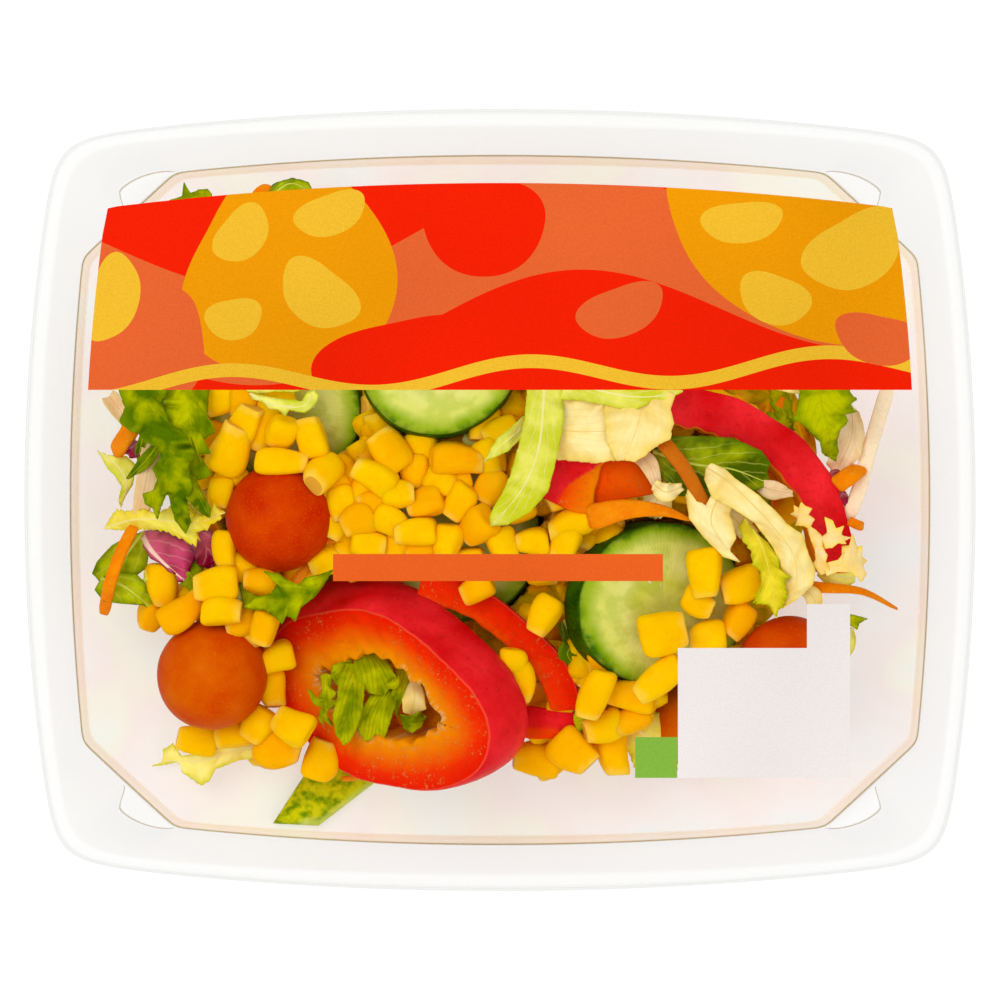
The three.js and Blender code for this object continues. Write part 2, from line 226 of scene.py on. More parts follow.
def add_object(name, data):
    """A new object in the scene."""
    thing = bpy.data.objects.new(name, data)
    bpy.context.scene.collection.objects.link(thing)
    return thing


def build_piece(name, patches, material, replaces=(), thickness=0):
    """One object from all its patches, riding on the pack, with its fields as attributes of the points."""
    points = np.vstack([part["points"] for part in patches]) * MM
    starts = np.cumsum([0] + [len(part["points"]) for part in patches[:-1]])
    quads = np.vstack([part["quads"] + start for part, start in zip(patches, starts)])
    triangles = np.vstack([part["triangles"] + start for part, start in zip(patches, starts)])
    corners = np.concatenate([quads.ravel(), triangles.ravel()]).astype(np.int32)
    face_starts = np.concatenate([np.arange(len(quads)) * 4, len(quads) * 4 + np.arange(len(triangles)) * 3])
    mesh = bpy.data.meshes.new(name)
    mesh.vertices.add(len(points))
    mesh.vertices.foreach_set("co", points.astype(np.float32).ravel())
    mesh.loops.add(len(corners))
    mesh.loops.foreach_set("vertex_index", corners)
    mesh.polygons.add(len(face_starts))
    mesh.polygons.foreach_set("loop_start", face_starts.astype(np.int32))
    mesh.polygons.foreach_set("use_smooth", np.ones(len(face_starts), bool))
    for field in patches[0]["fields"]:
        values = np.concatenate([part["fields"][field] for part in patches]).astype(np.float32)
        mesh.attributes.new(field, "FLOAT", "POINT").data.foreach_set("value", values)
    mesh.update(calc_edges=True)
    mesh.validate()
    mesh.materials.append(material)
    piece = add_object(name, mesh)
    if thickness:
        solid = piece.modifiers.new("thickness", "SOLIDIFY")
        solid.thickness = thickness * MM
        solid.offset = 0
    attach(piece, "root")
    if replaces:
        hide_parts(*replaces)
    return piece


# ---------------------------------------------------------------- material nodes

def colour(red, green, blue):
    """A linear colour with full alpha from display values of 0 to 255."""
    shares = [value / 255 for value in (red, green, blue)]
    return (*(share / 12.92 if share <= 0.04045 else ((share + 0.055) / 1.055) ** 2.4 for share in shares), 1)


class Value:
    """An output of a node. Arithmetic with it adds Math nodes to the tree that is being filled in."""

    tree = None  # the tree that is being filled in

    def __init__(self, socket):
        self.socket = socket

    def __add__(self, other):
        return maths("ADD", self, other)

    def __sub__(self, other):
        return maths("SUBTRACT", self, other)

    def __mul__(self, other):
        return maths("MULTIPLY", self, other)

    def __truediv__(self, other):
        return maths("DIVIDE", self, other)

    def __rtruediv__(self, other):
        return maths("DIVIDE", other, self)

    def __pow__(self, other):
        return maths("POWER", self, other)

    def __abs__(self):
        return maths("ABSOLUTE", self)


def join(value, socket):
    """Links a value to an input, or sets the input to a constant: a number, a vector or a display colour."""
    if isinstance(value, Value):
        Value.tree.links.new(value.socket, socket)
    elif socket.type == "RGBA":
        socket.default_value = colour(*value)
    else:
        socket.default_value = value


def put(kind, inputs, **settings):
    """Adds a node, with its settings, and fills its inputs with values or constants."""
    node = Value.tree.nodes.new(kind)
    for name, value in settings.items():
        setattr(node, name, value)
    for key, value in inputs.items():
        join(value, node.inputs[key])
    return node


def output(kind, inputs, key=0, **settings):
    """One output of a new node."""
    return Value(put(kind, inputs, **settings).outputs[key])


def maths(operation, *values):
    """The result of a Math node."""
    return output("ShaderNodeMath", dict(enumerate(values)), operation=operation)


def blended(factor, first, second, kind="MIX"):
    """The colour of a Mix node."""
    return output("ShaderNodeMix", {0: factor, 6: first, 7: second}, 2, data_type="RGBA", blend_type=kind)


def filtered(base, tone):
    """A colour seen through a tone."""
    return blended(1.0, base, tone, "MULTIPLY")


def remapped(value, low, high, to_low=0.0, to_high=1.0):
    """Value moved from low..high to to_low..to_high, and held within them."""
    return output("ShaderNodeMapRange", {0: value, 1: low, 2: high, 3: to_low, 4: to_high})


def ramp(value, *stops):
    """A colour that runs through the stops, each (value, display colour), and stays beyond the ends."""
    node = put("ShaderNodeValToRGB", {0: value})
    elements = node.color_ramp.elements
    for element, (position, _) in zip(elements, (stops[0], stops[-1])):
        element.position = position
    for position, _ in stops[1:-1]:
        elements.new(position)
    for element, (_, shade) in zip(elements, stops):
        element.color = colour(*shade)
    return Value(node.outputs[0])


def field(name):
    """A field of the piece's points."""
    return output("ShaderNodeAttribute", {}, "Fac", attribute_name=name)


def object_place():
    """The place of a point in the piece, in metres."""
    return output("ShaderNodeTexCoord", {}, "Object")


def vector(x, y):
    """A level vector."""
    return output("ShaderNodeCombineXYZ", {0: x, 1: y})


def texture(place, scale, detail=2.0, roughness=0.5):
    """Soft noise from 0 to 1 in the units of the place."""
    inputs = {"Vector": place, "Scale": scale, "Detail": detail, "Roughness": roughness}
    return output("ShaderNodeTexNoise", inputs)


def noise(place, size, detail=2.0, roughness=0.5):
    """Soft noise from 0 to 1 whose lumps are about size millimetres across."""
    return texture(place, 1 / MM / size, detail, roughness)


def new_group(name, **inputs):
    """Starts a shader node group. Its inputs are numbers with a default, or colours where the default is
    None, and underscores stand for the spaces of a name."""
    Value.tree = bpy.data.node_groups.new(name, "ShaderNodeTree")
    for label, default in inputs.items():
        kind = "NodeSocketColor" if default is None else "NodeSocketFloat"
        socket = Value.tree.interface.new_socket(label.replace("_", " "), in_out="INPUT", socket_type=kind)
        if default is not None:
            socket.default_value = default
    given = Value.tree.nodes.new("NodeGroupInput").outputs
    return [Value(given[index]) for index in range(len(inputs))]


def finish_group(**outputs):
    """Gives the group its outputs, which are numbers except for Colour."""
    for label in outputs:
        kind = "NodeSocketColor" if label == "Colour" else "NodeSocketFloat"
        Value.tree.interface.new_socket(label, in_out="OUTPUT", socket_type=kind)
    ends = Value.tree.nodes.new("NodeGroupOutput").inputs
    for label, value in outputs.items():
        join(value, ends[label])
    return Value.tree


def placed(group, **inputs):
    """The outputs of a group node by name; an input's underscores stand for the spaces of its name."""
    inputs = {name.replace("_", " "): value for name, value in inputs.items()}
    node = put("ShaderNodeGroup", inputs, node_tree=group)
    return {socket.name: Value(socket) for socket in node.outputs}


def new_material(name):
    """Starts a material, whose tree is the one to fill in."""
    material = bpy.data.materials.new(name)
    material.use_nodes = True
    Value.tree = material.node_tree
    return material


def finish_material(material, base, roughness, gloss=0.5, tint=(255, 255, 255), relief=None, **others):
    """Joins the colour, roughness, gloss and its tint, the relief (height in shares, depth in millimetres)
    and other inputs, whose names have underscores for spaces, to the material's Principled shader."""
    shader = material.node_tree.nodes["Principled BSDF"].inputs
    others.update(Base_Color=base, Roughness=roughness, Specular_IOR_Level=gloss, Specular_Tint=tint)
    if relief is not None:
        height, depth = relief
        others["Normal"] = output("ShaderNodeBump", {"Height": height, "Distance": depth * MM, "Strength": 1})
    for name, value in others.items():
        join(value, shader[name.replace("_", " ")])
    return material


def make_mottle_group():
    """Two colours mixed by soft noise, and a third in small specks."""
    first, second, third, patch_size, speck_size, specks = new_group(
        "mottle", First=None, Second=None, Third=None, Patch_Size=8.0, Speck_Size=0.8, Specks=0.3)
    place = object_place()
    uneven = noise(place, patch_size, 3.0) - 0.5
    share = output("ShaderNodeMath", {0: uneven, 1: 2.2, 2: 0.5}, operation="MULTIPLY_ADD", use_clamp=True)
    spotted = remapped(noise(place, speck_size), 0.56, 0.7)
    mixed = blended(spotted * specks, blended(share, first, second), third)
    return finish_group(Colour=mixed, Specks=spotted)


MOTTLE = make_mottle_group()
# Light that comes back out of wet red or orange flesh.
RED_GLOW = {"Subsurface_Weight": 0.1, "Subsurface_Scale": 0.004, "Subsurface_Radius": (1.0, 0.25, 0.08)}


def mottled(tones, patch_size, speck_size, specks):
    """The mottle's colour and specks for its two colours and that of its specks; sizes are in millimetres."""
    group = placed(MOTTLE, **dict(zip(("First", "Second", "Third"), tones)), Patch_Size=patch_size,
                   Speck_Size=speck_size, Specks=specks)
    return group["Colour"], group["Specks"]


# ---------------------------------------------------------------- tub

TUB_ANGLES = angles_round(720)


def rim_reach(inset=0):
    """How far the rim lies from the middle at each angle, less an inset."""
    return outline_reach(RIM, TUB_ANGLES) - inset


def foot_reach(inset=0):
    """How far the wall's foot lies from the middle at each angle, less an inset."""
    return outline_reach(FOOT, TUB_ANGLES) - inset


def lug_swell():
    """How far the denesting lugs swell: up fast from the end side, then down as 1 - t^2 to the long side."""
    turn = np.degrees(np.arctan2(np.abs(np.sin(TUB_ANGLES)), np.abs(np.cos(TUB_ANGLES))))
    rising = smoothed(LUG["from"], LUG["peak"], turn)
    falling = 1 - np.clip((turn - LUG["peak"]) / (LUG["to"] - LUG["peak"]), 0, 1) ** 2
    return LUG["reach"] * np.where(turn < LUG["peak"], rising, falling)


def wall_reach(z):
    """Inner face of the wall: straight from foot to mouth, with the lugs' swelling above their ledge."""
    rise = (z - FOOT_HEIGHT) / (FLANGE_TOP - FOOT_HEIGHT)
    plain = (1 - rise) * foot_reach() + rise * rim_reach(FLANGE_WIDTH)
    if z < LUG["height"]:
        return plain
    return plain + lug_swell() * (1 - (z - LUG["height"]) / (FLANGE_TOP - LUG["height"]))


def tub_rings():
    """The tub's section from the middle of its floor over the rim to its underside, as (reach, z, tint,
    line). tint is how strongly the floor's painted pastel light, the salad's colours thrown on it, shows;
    below 0 it is how grey the rim looks. line marks the folds and their darker line of painted shade."""
    lug_edge = smoothed(0.1, 0.8, lug_swell())
    ledge = wall_reach(LUG["height"])
    shares = np.linspace(0.08, 0.92, 12)
    top, drop = FLANGE_TOP, FLANGE_TOP - LIP_DROP
    inside = [(foot_reach(BEVEL_WIDTH) * share, WALL, 0.5, 0) for share in shares]
    inside += [
        (foot_reach(BEVEL_WIDTH + 0.3), WALL, 0.5, 0),
        (foot_reach(BEVEL_WIDTH), WALL, 1, 0),
        (foot_reach(0.45), FOOT_HEIGHT - 0.25, 1, 0),
        (foot_reach(0.12), FOOT_HEIGHT - 0.07, 1, 1),
        (foot_reach(), FOOT_HEIGHT, 0.3, 1),
        (wall_reach(FOOT_HEIGHT + 1.2) + 0.1, FOOT_HEIGHT + 1.2, 0, 0),
        (wall_reach(LUG["height"] - 0.2), LUG["height"] - 0.2, 0, 0),
        (ledge - 0.5 * lug_edge, LUG["height"], 0, 0),
        (ledge - 0.12 * lug_edge, LUG["height"], 0, lug_edge),
        (ledge, LUG["height"] + 0.2, 0, lug_edge),
        (wall_reach(LUG["height"] + 1.2), LUG["height"] + 1.2, 0, 0),
        (wall_reach(14), 14, 0, 0),
        (wall_reach(34), 34, 0, 0),
        (wall_reach(top - 0.8), top - 0.8, 0, 0),
        (wall_reach(top - 0.15) + 0.05, top - 0.15, 0, 0),
        (wall_reach(top) + 0.3, top, 0, 0),
    ]
    lip = [(rim_reach(LIP_RADIUS + 0.4), top, -0.3, 0)]
    for turn in np.radians([0, 30, 60, 90]):
        inset = LIP_RADIUS * (1 - math.sin(turn))
        lip.append((rim_reach(inset), top - LIP_RADIUS * (1 - math.cos(turn)), -1, 0))
    lip += [
        (rim_reach(), drop + 0.2, -1, 0),
        (rim_reach(0.1), drop, -1, 0),
        (rim_reach(WALL - 0.1), drop, -1, 0),
        (rim_reach(WALL), drop + 0.2, -1, 0),
        (rim_reach(WALL), top - LIP_RADIUS - 0.3, -1, 0),
        (rim_reach(LIP_RADIUS + 0.3), top - WALL, 0, 0),
        (wall_reach(top) + WALL + 0.3, top - WALL, 0, 0),
    ]
    outside = [
        (wall_reach(z) + WALL, z - WALL, 0, 0)
        for z in (top - 0.6, 34, 14, LUG["height"] + 1.2, LUG["height"], LUG["height"] - 0.7, FOOT_HEIGHT)
    ]
    under = [
        (foot_reach(BEVEL_WIDTH - 0.3), 0, 1, 0),
        (foot_reach(BEVEL_WIDTH), 0, 0.5, 0),
    ]
    under += [(foot_reach(BEVEL_WIDTH) * share, 0, 0.5, 0) for share in shares[::-1]]
    return inside + lip + outside + under


def level_rings(section):
    """Level rings from (reach, height) rows, round the middle of the pack."""
    east, north = np.cos(TUB_ANGLES), np.sin(TUB_ANGLES)
    return np.array([np.stack([reach * east, reach * north, z + 0 * east], axis=1) for reach, z in section])


def tub_material():
    """Clear sheet with a milky cast. Where it lies flat it shows faint pastel patches of painted light,
    the salad's colours thrown onto it, and where it folds a darker line of painted shade."""
    material = new_material("clear_tub_plastic")
    tint, line, place = field("tint"), field("line"), object_place()
    # painted light: pastel patches of the salad's colours thrown onto the flat floor
    patches = ramp(noise(place, 34, 1.5), (0.34, (244, 250, 226)), (0.42, (255, 244, 206)),
                   (0.5, (255, 228, 214)), (0.6, (255, 238, 226)), (0.68, (240, 246, 236)))
    grey = remapped(tint, 0.0, -1.0)
    wall = blended(grey, (222, 224, 210), (206, 210, 200))
    # painted light: the bevel strip at the floor's edge takes a stronger warm tint
    flat = blended(remapped(tint, 0.55, 0.95, 0.0, 0.6), patches, (255, 222, 168))
    # painted shade: a darker tan line along the folds
    base = blended(line, blended(remapped(tint, 0.0, 0.5), wall, flat), (176, 158, 92))
    facing = output("ShaderNodeLayerWeight", {"Blend": 0.35}, "Facing")
    cover = facing * 0.06 + 0.07 + maths("MAXIMUM", tint, 0.0) * 0.38 + grey * 0.08 + line * 0.55
    return finish_material(material, base, 0.12, relief=(noise(place, 14), 0.05), Alpha=cover)


def build_tub():
    section = tub_rings()
    tint, line = (np.array([np.broadcast_to(row[k], TUB_ANGLES.shape) for row in section]) for k in (2, 3))
    skin = lofted(level_rings([row[:2] for row in section]), tint=tint, line=line)
    tub = build_piece("clear_tub", [skin], tub_material(), ["tub"])
    tub.visible_diffuse = False  # it is too clear to dim the light between the pieces


# ---------------------------------------------------------------- film and print

def film_material():
    """Clear film: nothing to see straight on, hazier and glossier where it is seen edge on."""
    material = new_material("clear_film")
    facing = output("ShaderNodeLayerWeight", {"Blend": 0.2}, "Facing")
    return finish_material(material, (250, 250, 247), 0.1, Alpha=facing * 0.2)


def build_film():
    low, high = box_mm("lid_film")
    inset = TUB_HIGH[0] - high[0]
    shares = np.linspace(0.04, 1, 25)
    section = [(rim_reach(inset) * share, low[2]) for share in shares]
    section += [(rim_reach(inset) * share, high[2]) for share in shares[::-1]]
    skin = lofted(level_rings(section))
    film = build_piece("clear_lid_film", [skin], film_material(), ["lid_film"])
    film.visible_shadow = film.visible_diffuse = False  # light passes it freely


def make_print_group():
    """Ink on film: a fine grain, and a slow drift in strength."""
    ink, strength = new_group("ink_grain", Colour=None, Grain=1.0)
    place = object_place()
    grain = (noise(place, 0.45, 1) - 0.5) * strength
    drift = (noise(place, 60, 1) - 0.5) * 0.28
    scaled = output("ShaderNodeVectorMath", {0: ink, "Scale": grain + drift + 1.0}, operation="SCALE")
    return finish_group(Colour=scaled)


def place_in_mm():
    """The place of a point in the piece, in millimetres."""
    return output("ShaderNodeVectorMath", {0: object_place(), "Scale": 1 / MM}, operation="SCALE")


def along_axes(place):
    """The three coordinates of a place."""
    return [Value(socket) for socket in put("ShaderNodeSeparateXYZ", {0: place}).outputs]


def make_pebble_group():
    """1 inside a turned oval, whose edge waves gently."""
    east, north, turn, half_length, half_width, wave = new_group(
        "pebble", East=0.0, North=0.0, Turn=0.0, Half_Length=10.0, Half_Width=8.0, Wave=0.1)
    offset = output("ShaderNodeVectorMath", {0: place_in_mm(), 1: vector(east, north)}, operation="SUBTRACT")
    angle = turn * math.radians(-1)
    local = output("ShaderNodeVectorRotate", {"Vector": offset, "Angle": angle}, rotation_type="Z_AXIS")
    x, y, _ = along_axes(local)
    along, aside = x / half_length, y / half_width
    distance = maths("SQRT", abs(along) ** 2.3 + abs(aside) ** 2.3)
    reach = maths("SINE", maths("ARCTAN2", aside, along) * 3.0) * wave + 1.0
    return finish_group(Mask=maths("LESS_THAN", distance, reach))


def make_ribbon_group():
    """1 inside a band of even width whose middle line is north = height + slope east + swing sin(wave
    east)."""
    height, slope, swing, wave, shift, half_width = new_group(
        "ribbon", North=50.0, Slope=0.0, Swing=6.0, Wave=60.0, Shift=0.0, Half_Width=6.0)
    x, y, _ = along_axes(place_in_mm())
    line = x * slope + height + maths("SINE", (x + shift) / wave * TURN) * swing
    return finish_group(Mask=maths("LESS_THAN", abs(y - line), half_width))


INK = make_print_group()
MASKS = {"pebble": make_pebble_group(), "ribbon": make_ribbon_group()}
INK_RED = (238, 30, 0)
INK_SALMON = (226, 98, 46)
INK_AMBER = (234, 150, 2)
INK_YELLOW = (236, 184, 44)

# The band's motifs from the lowest to the topmost: pebbles are (east, north, turn, half length, half width,
# wave), ribbons are (north, slope, swing, wave length, shift, half width).
MOTIFS = [
    ("ribbon", INK_SALMON, (56, 0.06, 12, 150, 20, 12)),
    ("pebble", INK_AMBER, (-52, 56, 62, 27, 25, 0.08)),
    ("pebble", INK_AMBER, (76, 62, -24, 38, 19, 0.10)),
    ("pebble", INK_SALMON, (-88, 36, 40, 17, 13, 0.12)),
    ("pebble", INK_RED, (-4, 68, 0, 15, 12, 0.06)),
    ("pebble", INK_RED, (-24, 33, 12, 22, 12, 0.08)),
    ("ribbon", INK_YELLOW, (31, 0.03, 3.2, 74, 12, 1.7)),
    ("pebble", INK_YELLOW, (-96, 50, 74, 11, 6, 0.10)),
    ("pebble", INK_YELLOW, (-64, 66, 50, 8, 5.5, 0.08)),
    ("pebble", INK_YELLOW, (-42, 71, 20, 9, 5, 0.08)),
    ("pebble", INK_YELLOW, (-45, 51, -38, 10.5, 7, 0.10)),
    ("pebble", INK_YELLOW, (-66, 45, 10, 7, 5, 0.08)),
    ("pebble", INK_SALMON, (30, 47, 20, 11, 6, 0.08)),
    ("pebble", INK_YELLOW, (88, 62, 30, 13, 8.5, 0.10)),
    ("pebble", INK_YELLOW, (60, 69, 5, 10, 5, 0.08)),
    ("pebble", INK_YELLOW, (68, 50, -20, 9, 6, 0.08)),
    ("pebble", INK_SALMON, (94, 40, -12, 11, 6, 0.10)),
]


def print_material(name, ink, roughness, grain, motifs=()):
    """An ink on the film, and over it motifs in other inks."""
    material = new_material(name)
    for kind, other, sizes in motifs:
        mask = output("ShaderNodeGroup", dict(enumerate(sizes)), node_tree=MASKS[kind])
        ink = blended(mask, ink, other)
    return finish_material(material, placed(INK, Colour=ink, Grain=grain)["Colour"], roughness, 0.015)


def finish_prints():
    """New finishes for the printed fields, whose CAD shapes stay."""
    finishes = {
        "label_band": print_material("printed_band", INK_RED, 0.35, 0.3, MOTIFS),
        "label_strip": print_material("orange_ink", (230, 96, 32), 0.35, 0.25),
        "label_panel": print_material("pale_panel_ink", (233, 226, 222), 0.5, 0.15),
        "label_square": print_material("green_ink", (128, 176, 62), 0.4, 0.3),
    }
    for node, material in finishes.items():
        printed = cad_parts[node]
        printed.data.materials.clear()
        printed.data.materials.append(material)
        printed.visible_shadow = printed.visible_diffuse = False  # ink lets light through to the salad


# ---------------------------------------------------------------- tomatoes

def tomato_patch(low, high, seed, stem_lean, stem_towards):
    """A flattened globe that fills its box: radius (1 + small ripples) with a dimple where the stem was."""
    rng = np.random.default_rng(seed)
    half = (high - low) / 2
    polar = np.radians(np.linspace(2, 178, 56))[:, None]
    around = angles_round(72)[None, :]
    dimple = np.exp(-((polar / 0.2) ** 2))
    reach = 0.985 - 0.09 * dimple + 0.008 * ripples(rng, np.cos(around) * 3, polar * 3, 5)
    globe = np.stack(np.broadcast_arrays(
        reach * np.sin(polar) * np.cos(around), reach * np.sin(polar) * np.sin(around), reach * np.cos(polar),
    ), axis=-1)
    globe = leaned(globe, (0, 0, 0), stem_lean, stem_towards)
    return lofted(globe * half + (low + high) / 2, stem=dimple, height=globe[..., 2])


def tomato_material(name, tones):
    """Thin glossy skin, mottled and finely speckled, with painted shade that darkens its underside and a
    green-brown scar where the stem was.
    """
    material = new_material(name)
    skin, specks = mottled(tones, 9.0, 0.6, 0.35)
    # painted shade: the skin darkens towards its underside
    shaded = blended(remapped(field("height"), 0.75, 0.0), skin, filtered(skin, (242, 214, 150)))
    base = blended(remapped(field("stem"), 0.55, 0.8), shaded, (120, 112, 40))
    return finish_material(material, base, 0.24, 0.035, (255, 190, 120), (specks, 0.04), **RED_GLOW)


TOMATO_FINISHES = [
    # seed, stem lean, stem towards, then the two colours of the skin and that of its specks
    (3, 100, 200, (198, 32, 0), (214, 70, 0), (228, 100, 0)),
    (4, 110, 150, (206, 60, 0), (218, 100, 0), (230, 116, 0)),
    (5, 96, 330, (198, 46, 0), (214, 80, 0), (228, 104, 0)),
    (6, 90, 280, (210, 84, 0), (224, 122, 0), (234, 132, 0)),
]


def build_tomatoes():
    for index, (seed, lean, towards, *tones) in enumerate(TOMATO_FINISHES, start=1):
        low, high = box_mm(f"cherry_tomato_{index}")
        material = tomato_material(f"tomato_skin_{index}", tones)
        skin = tomato_patch(low, high, seed, lean, towards)
        build_piece(f"tomato_{index}", [skin], material, [f"cherry_tomato_{index}"])


# ---------------------------------------------------------------- peppers

PEPPERS = [
    {"at": (-25.8, -48.3, 29.5), "radii": (25.6, 15.9), "wall": 14.2, "height": 16, "arc": (0, 360),
     "turn": -14, "lean": 37, "towards": 200, "wider_ends": 0.15, "lobes": 0.035, "bulge": 0.9,
     "skirt": (138, 6.6), "pared": (48, 2.6)},
    {"at": (-48.6, -54.7, 28.4), "radii": (64.9, 37), "wall": 8, "height": 9, "arc": (3, 64), "unripe": 0.4,
     "ragged": 0.2},
    {"at": (46, -20.6, 38.5), "radii": (38.6, 43.2), "wall": 10.4, "height": 8.5, "arc": (3, 152), "lean": 9,
     "towards": 0, "skin_over": 1.05, "flare": 0.42, "unripe": 0.8, "ragged": 0.7},
]
PEPPER_LOBES = 4


def pepper_section(wall, height, bulge):
    """Section of the wall as rows of (out, up, skin, deep, rim): up its bulging skin, in over the cut face to
    the hollow, down the inner side and back under. deep runs from 0 at the skin to 1 at the hollow."""
    a, b, edge = wall / 2, height / 2, 0.55
    up = np.linspace(-b + edge, b - edge, 7)
    over = np.linspace(a - edge, -a + edge, 13)
    skin = [(a + bulge * (1 - (y / b) ** 2), y, 1, 0, 0) for y in up]
    top = [(x, b, 0, (a - x) / wall, 0) for x in over]
    inner = [(-a, y, 0, 1, 0) for y in up[::-1]]
    under = [(x, -b, 0, (a - x) / wall, 0) for x in over[::-1]]
    corner = (a - 0.3 * edge, b - 0.3 * edge, 0.5, 0.02, 1)
    low_corner = (a - 0.3 * edge, -b + 0.3 * edge, 0.5, 0.02, 1)
    return np.array(skin + [corner] + top + inner + under + [low_corner], float)


def pepper_patch(piece, seed):
    """The section carried round an oval of radius radii (1 + lobes cos 4 turn), whole or from end to end,
    with ripples in the wall's reach and a ragged inner edge. skin_over is how far the skin also covers its
    top, flare is how much wider the wall gets at its far end, where more flesh shows, and unripe is how
    orange the flesh gets. skirt (angle, reach) is how far the foot of the skin flares out, pared how far its
    top is drawn in, and ragged how far the inner edge strays."""
    rng = np.random.default_rng(seed)
    start, stop = piece["arc"]
    whole = stop - start == 360
    count = 180
    degrees = np.linspace(start, stop, count, endpoint=not whole)
    angle = np.radians(degrees)
    swell = 1 + piece.get("lobes", 0) * np.cos(PEPPER_LOBES * angle)
    radius_east, radius_north = piece["radii"]
    middle = np.stack([radius_east * swell * np.cos(angle), radius_north * swell * np.sin(angle)], axis=1)
    ahead = unit(np.gradient(middle, axis=0))
    outward = np.stack([ahead[:, 1], -ahead[:, 0]], axis=1)
    section = pepper_section(piece["wall"], piece["height"], piece.get("bulge", 0.3))
    out, up, skin, deep, rim = section.T
    flare = piece.get("flare", 0) * smoothed(stop - 26, stop - 4, degrees)[:, None]
    if "skin_over" in piece:
        limit = piece["skin_over"] - 1.3 * flare
        skin = np.maximum(skin, (up > 0) * (1 - smoothed(limit - 0.12, limit, deep[None, :])))
        rim = rim * 0
    closing = np.ones(count) if whole else smoothed(0, 4, np.minimum(degrees - start, stop - degrees) + 2.2)
    wobble = 0.6 * ripples(rng, middle[:, 0], middle[:, 1], 22)[:, None]
    ragged = piece.get("ragged", 1.1) * ripples(rng, middle[:, 0], middle[:, 1], 7)[:, None]
    ragged = ragged * smoothed(0.6, 1, deep)[None, :]
    widening = 1 + piece.get("wider_ends", 0) * np.cos(2 * angle)[:, None] + flare
    reach = out[None, :] * closing[:, None] * widening * 0.98 + wobble + ragged - 6 * flare
    lift = up[None, :] * (0.75 + 0.25 * closing[:, None])
    grain = ripples(rng, middle[:, :1] + out * 0.7, middle[:, 1:] + out * 0.9, 4)
    lift = lift + 0.28 * grain * (np.abs(up) > 2)
    level = 0.5 + up[None, :] / piece["height"]
    skin_side = np.clip(0.5 + out[None, :] / piece["wall"], 0, 1)
    for name, share in (("skirt", 1 - level), ("pared", -level)):
        at, size = piece.get(name, (0, 0))
        near = np.clip(np.cos(angle - math.radians(at)), 0, 1)[:, None] ** 3
        reach = reach + size * near * share * skin_side
    points = np.concatenate([
        middle[:, None, :] + outward[:, None, :] * reach[..., None], lift[..., None],
    ], axis=-1)
    points = turned(points, (0, 0, 1), piece.get("turn", 0))
    points = leaned(points, piece["at"], piece.get("lean", 0), piece.get("towards", 0))
    along = np.cumsum(np.linalg.norm(np.gradient(middle, axis=0), axis=1))[:, None]
    return lofted(points, hoop=whole, skin=skin, deep=deep * piece.get("unripe", 1), rim=rim, along=along)


def pepper_flap(path, width, skin_side):
    """A flat piece of wall: a slab carried along a path, skin side up where skin_side is 1."""
    path = curve_through(path, 24)
    ahead = unit(np.gradient(path, axis=0))
    aside = unit(np.cross((0, 0, 1), ahead))
    section = [(3.7, 0.6), (3.3, 1.2), (1, 1.5), (-1, 1.4), (-3.6, 1), (-4, 0.4), (-4, -1), (3.6, -1)]
    across, tall = np.array(section).T
    sideways = across[None, :] * width / 8 * (1 + 0.08 * np.sin(np.linspace(0, 9, 24)))[:, None]
    points = path[:, None] + aside[:, None] * sideways[..., None] + np.array([0, 0, 1]) * tall[None, :, None]
    skin = skin_side * smoothed(-2.4, -0.6, across)[None, :]
    return lofted(points, skin=skin, deep=0.46 - 0.14 * skin_side, rim=0, along=0)


PEPPER_FLAPS = {
    # ring: (path, width, skin side up)
    2: ([(5.4, -55.4, 28), (14, -56.2, 30.6), (24.2, -57.6, 28.6)], 8, 1),
    3: ([(20, 3, 41.4), (26, 4.6, 42.4), (33, 6.6, 41.6), (39, 9, 38)], 12.4, 0),
}


def pepper_material():
    """Glossy red skin, its reds mottled with pink patches of painted sheen, and a thin pale cut line; flesh
    that runs from red to orange with pale flecks, and a fibrous inner edge."""
    material = new_material("red_pepper")
    place = object_place()
    skin, deep, rim, along = (field(name) for name in ("skin", "deep", "rim", "along"))
    # the skin's own reds, mottled with pink patches that are painted sheen
    skin_and_sheen, _ = mottled([(208, 0, 4), (255, 46, 54), (186, 0, 6)], 12.0, 1.3, 0.22)
    flesh = ramp(noise(place, 9, 3) * 0.34 + (deep - 0.17), (0.0, (232, 22, 0)), (0.28, (240, 46, 0)),
                 (0.56, (240, 98, 0)), (0.9, (242, 144, 0)))
    flecks = remapped(noise(place, 1.5, 6, 0.85), 0.56, 0.66)
    where = remapped(noise(place, 14, 1), 0.42, 0.56, 0.1, 1.0)
    flesh = blended(flecks * where, flesh, (252, 156, 70))
    fibre = remapped(texture(vector(along, deep * 1.2), 1.5), 0.5, 0.6) * remapped(deep, 0.82, 0.96)
    fibre = fibre * remapped(noise(place, 16, 1), 0.46, 0.54)
    flesh = blended(fibre, flesh, (236, 186, 120))
    cut = blended(rim * 0.45, flesh, (250, 110, 80))
    base = blended(remapped(skin, 0.55, 0.95), cut, skin_and_sheen)
    return finish_material(material, base, remapped(skin, 0.0, 1.0, 0.42, 0.2), 0.04, (255, 190, 150),
                           (flecks * 0.6 + fibre, 0.12), **RED_GLOW)


def build_peppers():
    material = pepper_material()
    for index, piece in enumerate(PEPPERS, start=1):
        patches = [pepper_patch(piece, 10 + index)]
        if index in PEPPER_FLAPS:
            patches.append(pepper_flap(*PEPPER_FLAPS[index]))
        build_piece(f"pepper_{index}", patches, material, [f"pepper_ring_{index}"])


# ---------------------------------------------------------------- cucumbers

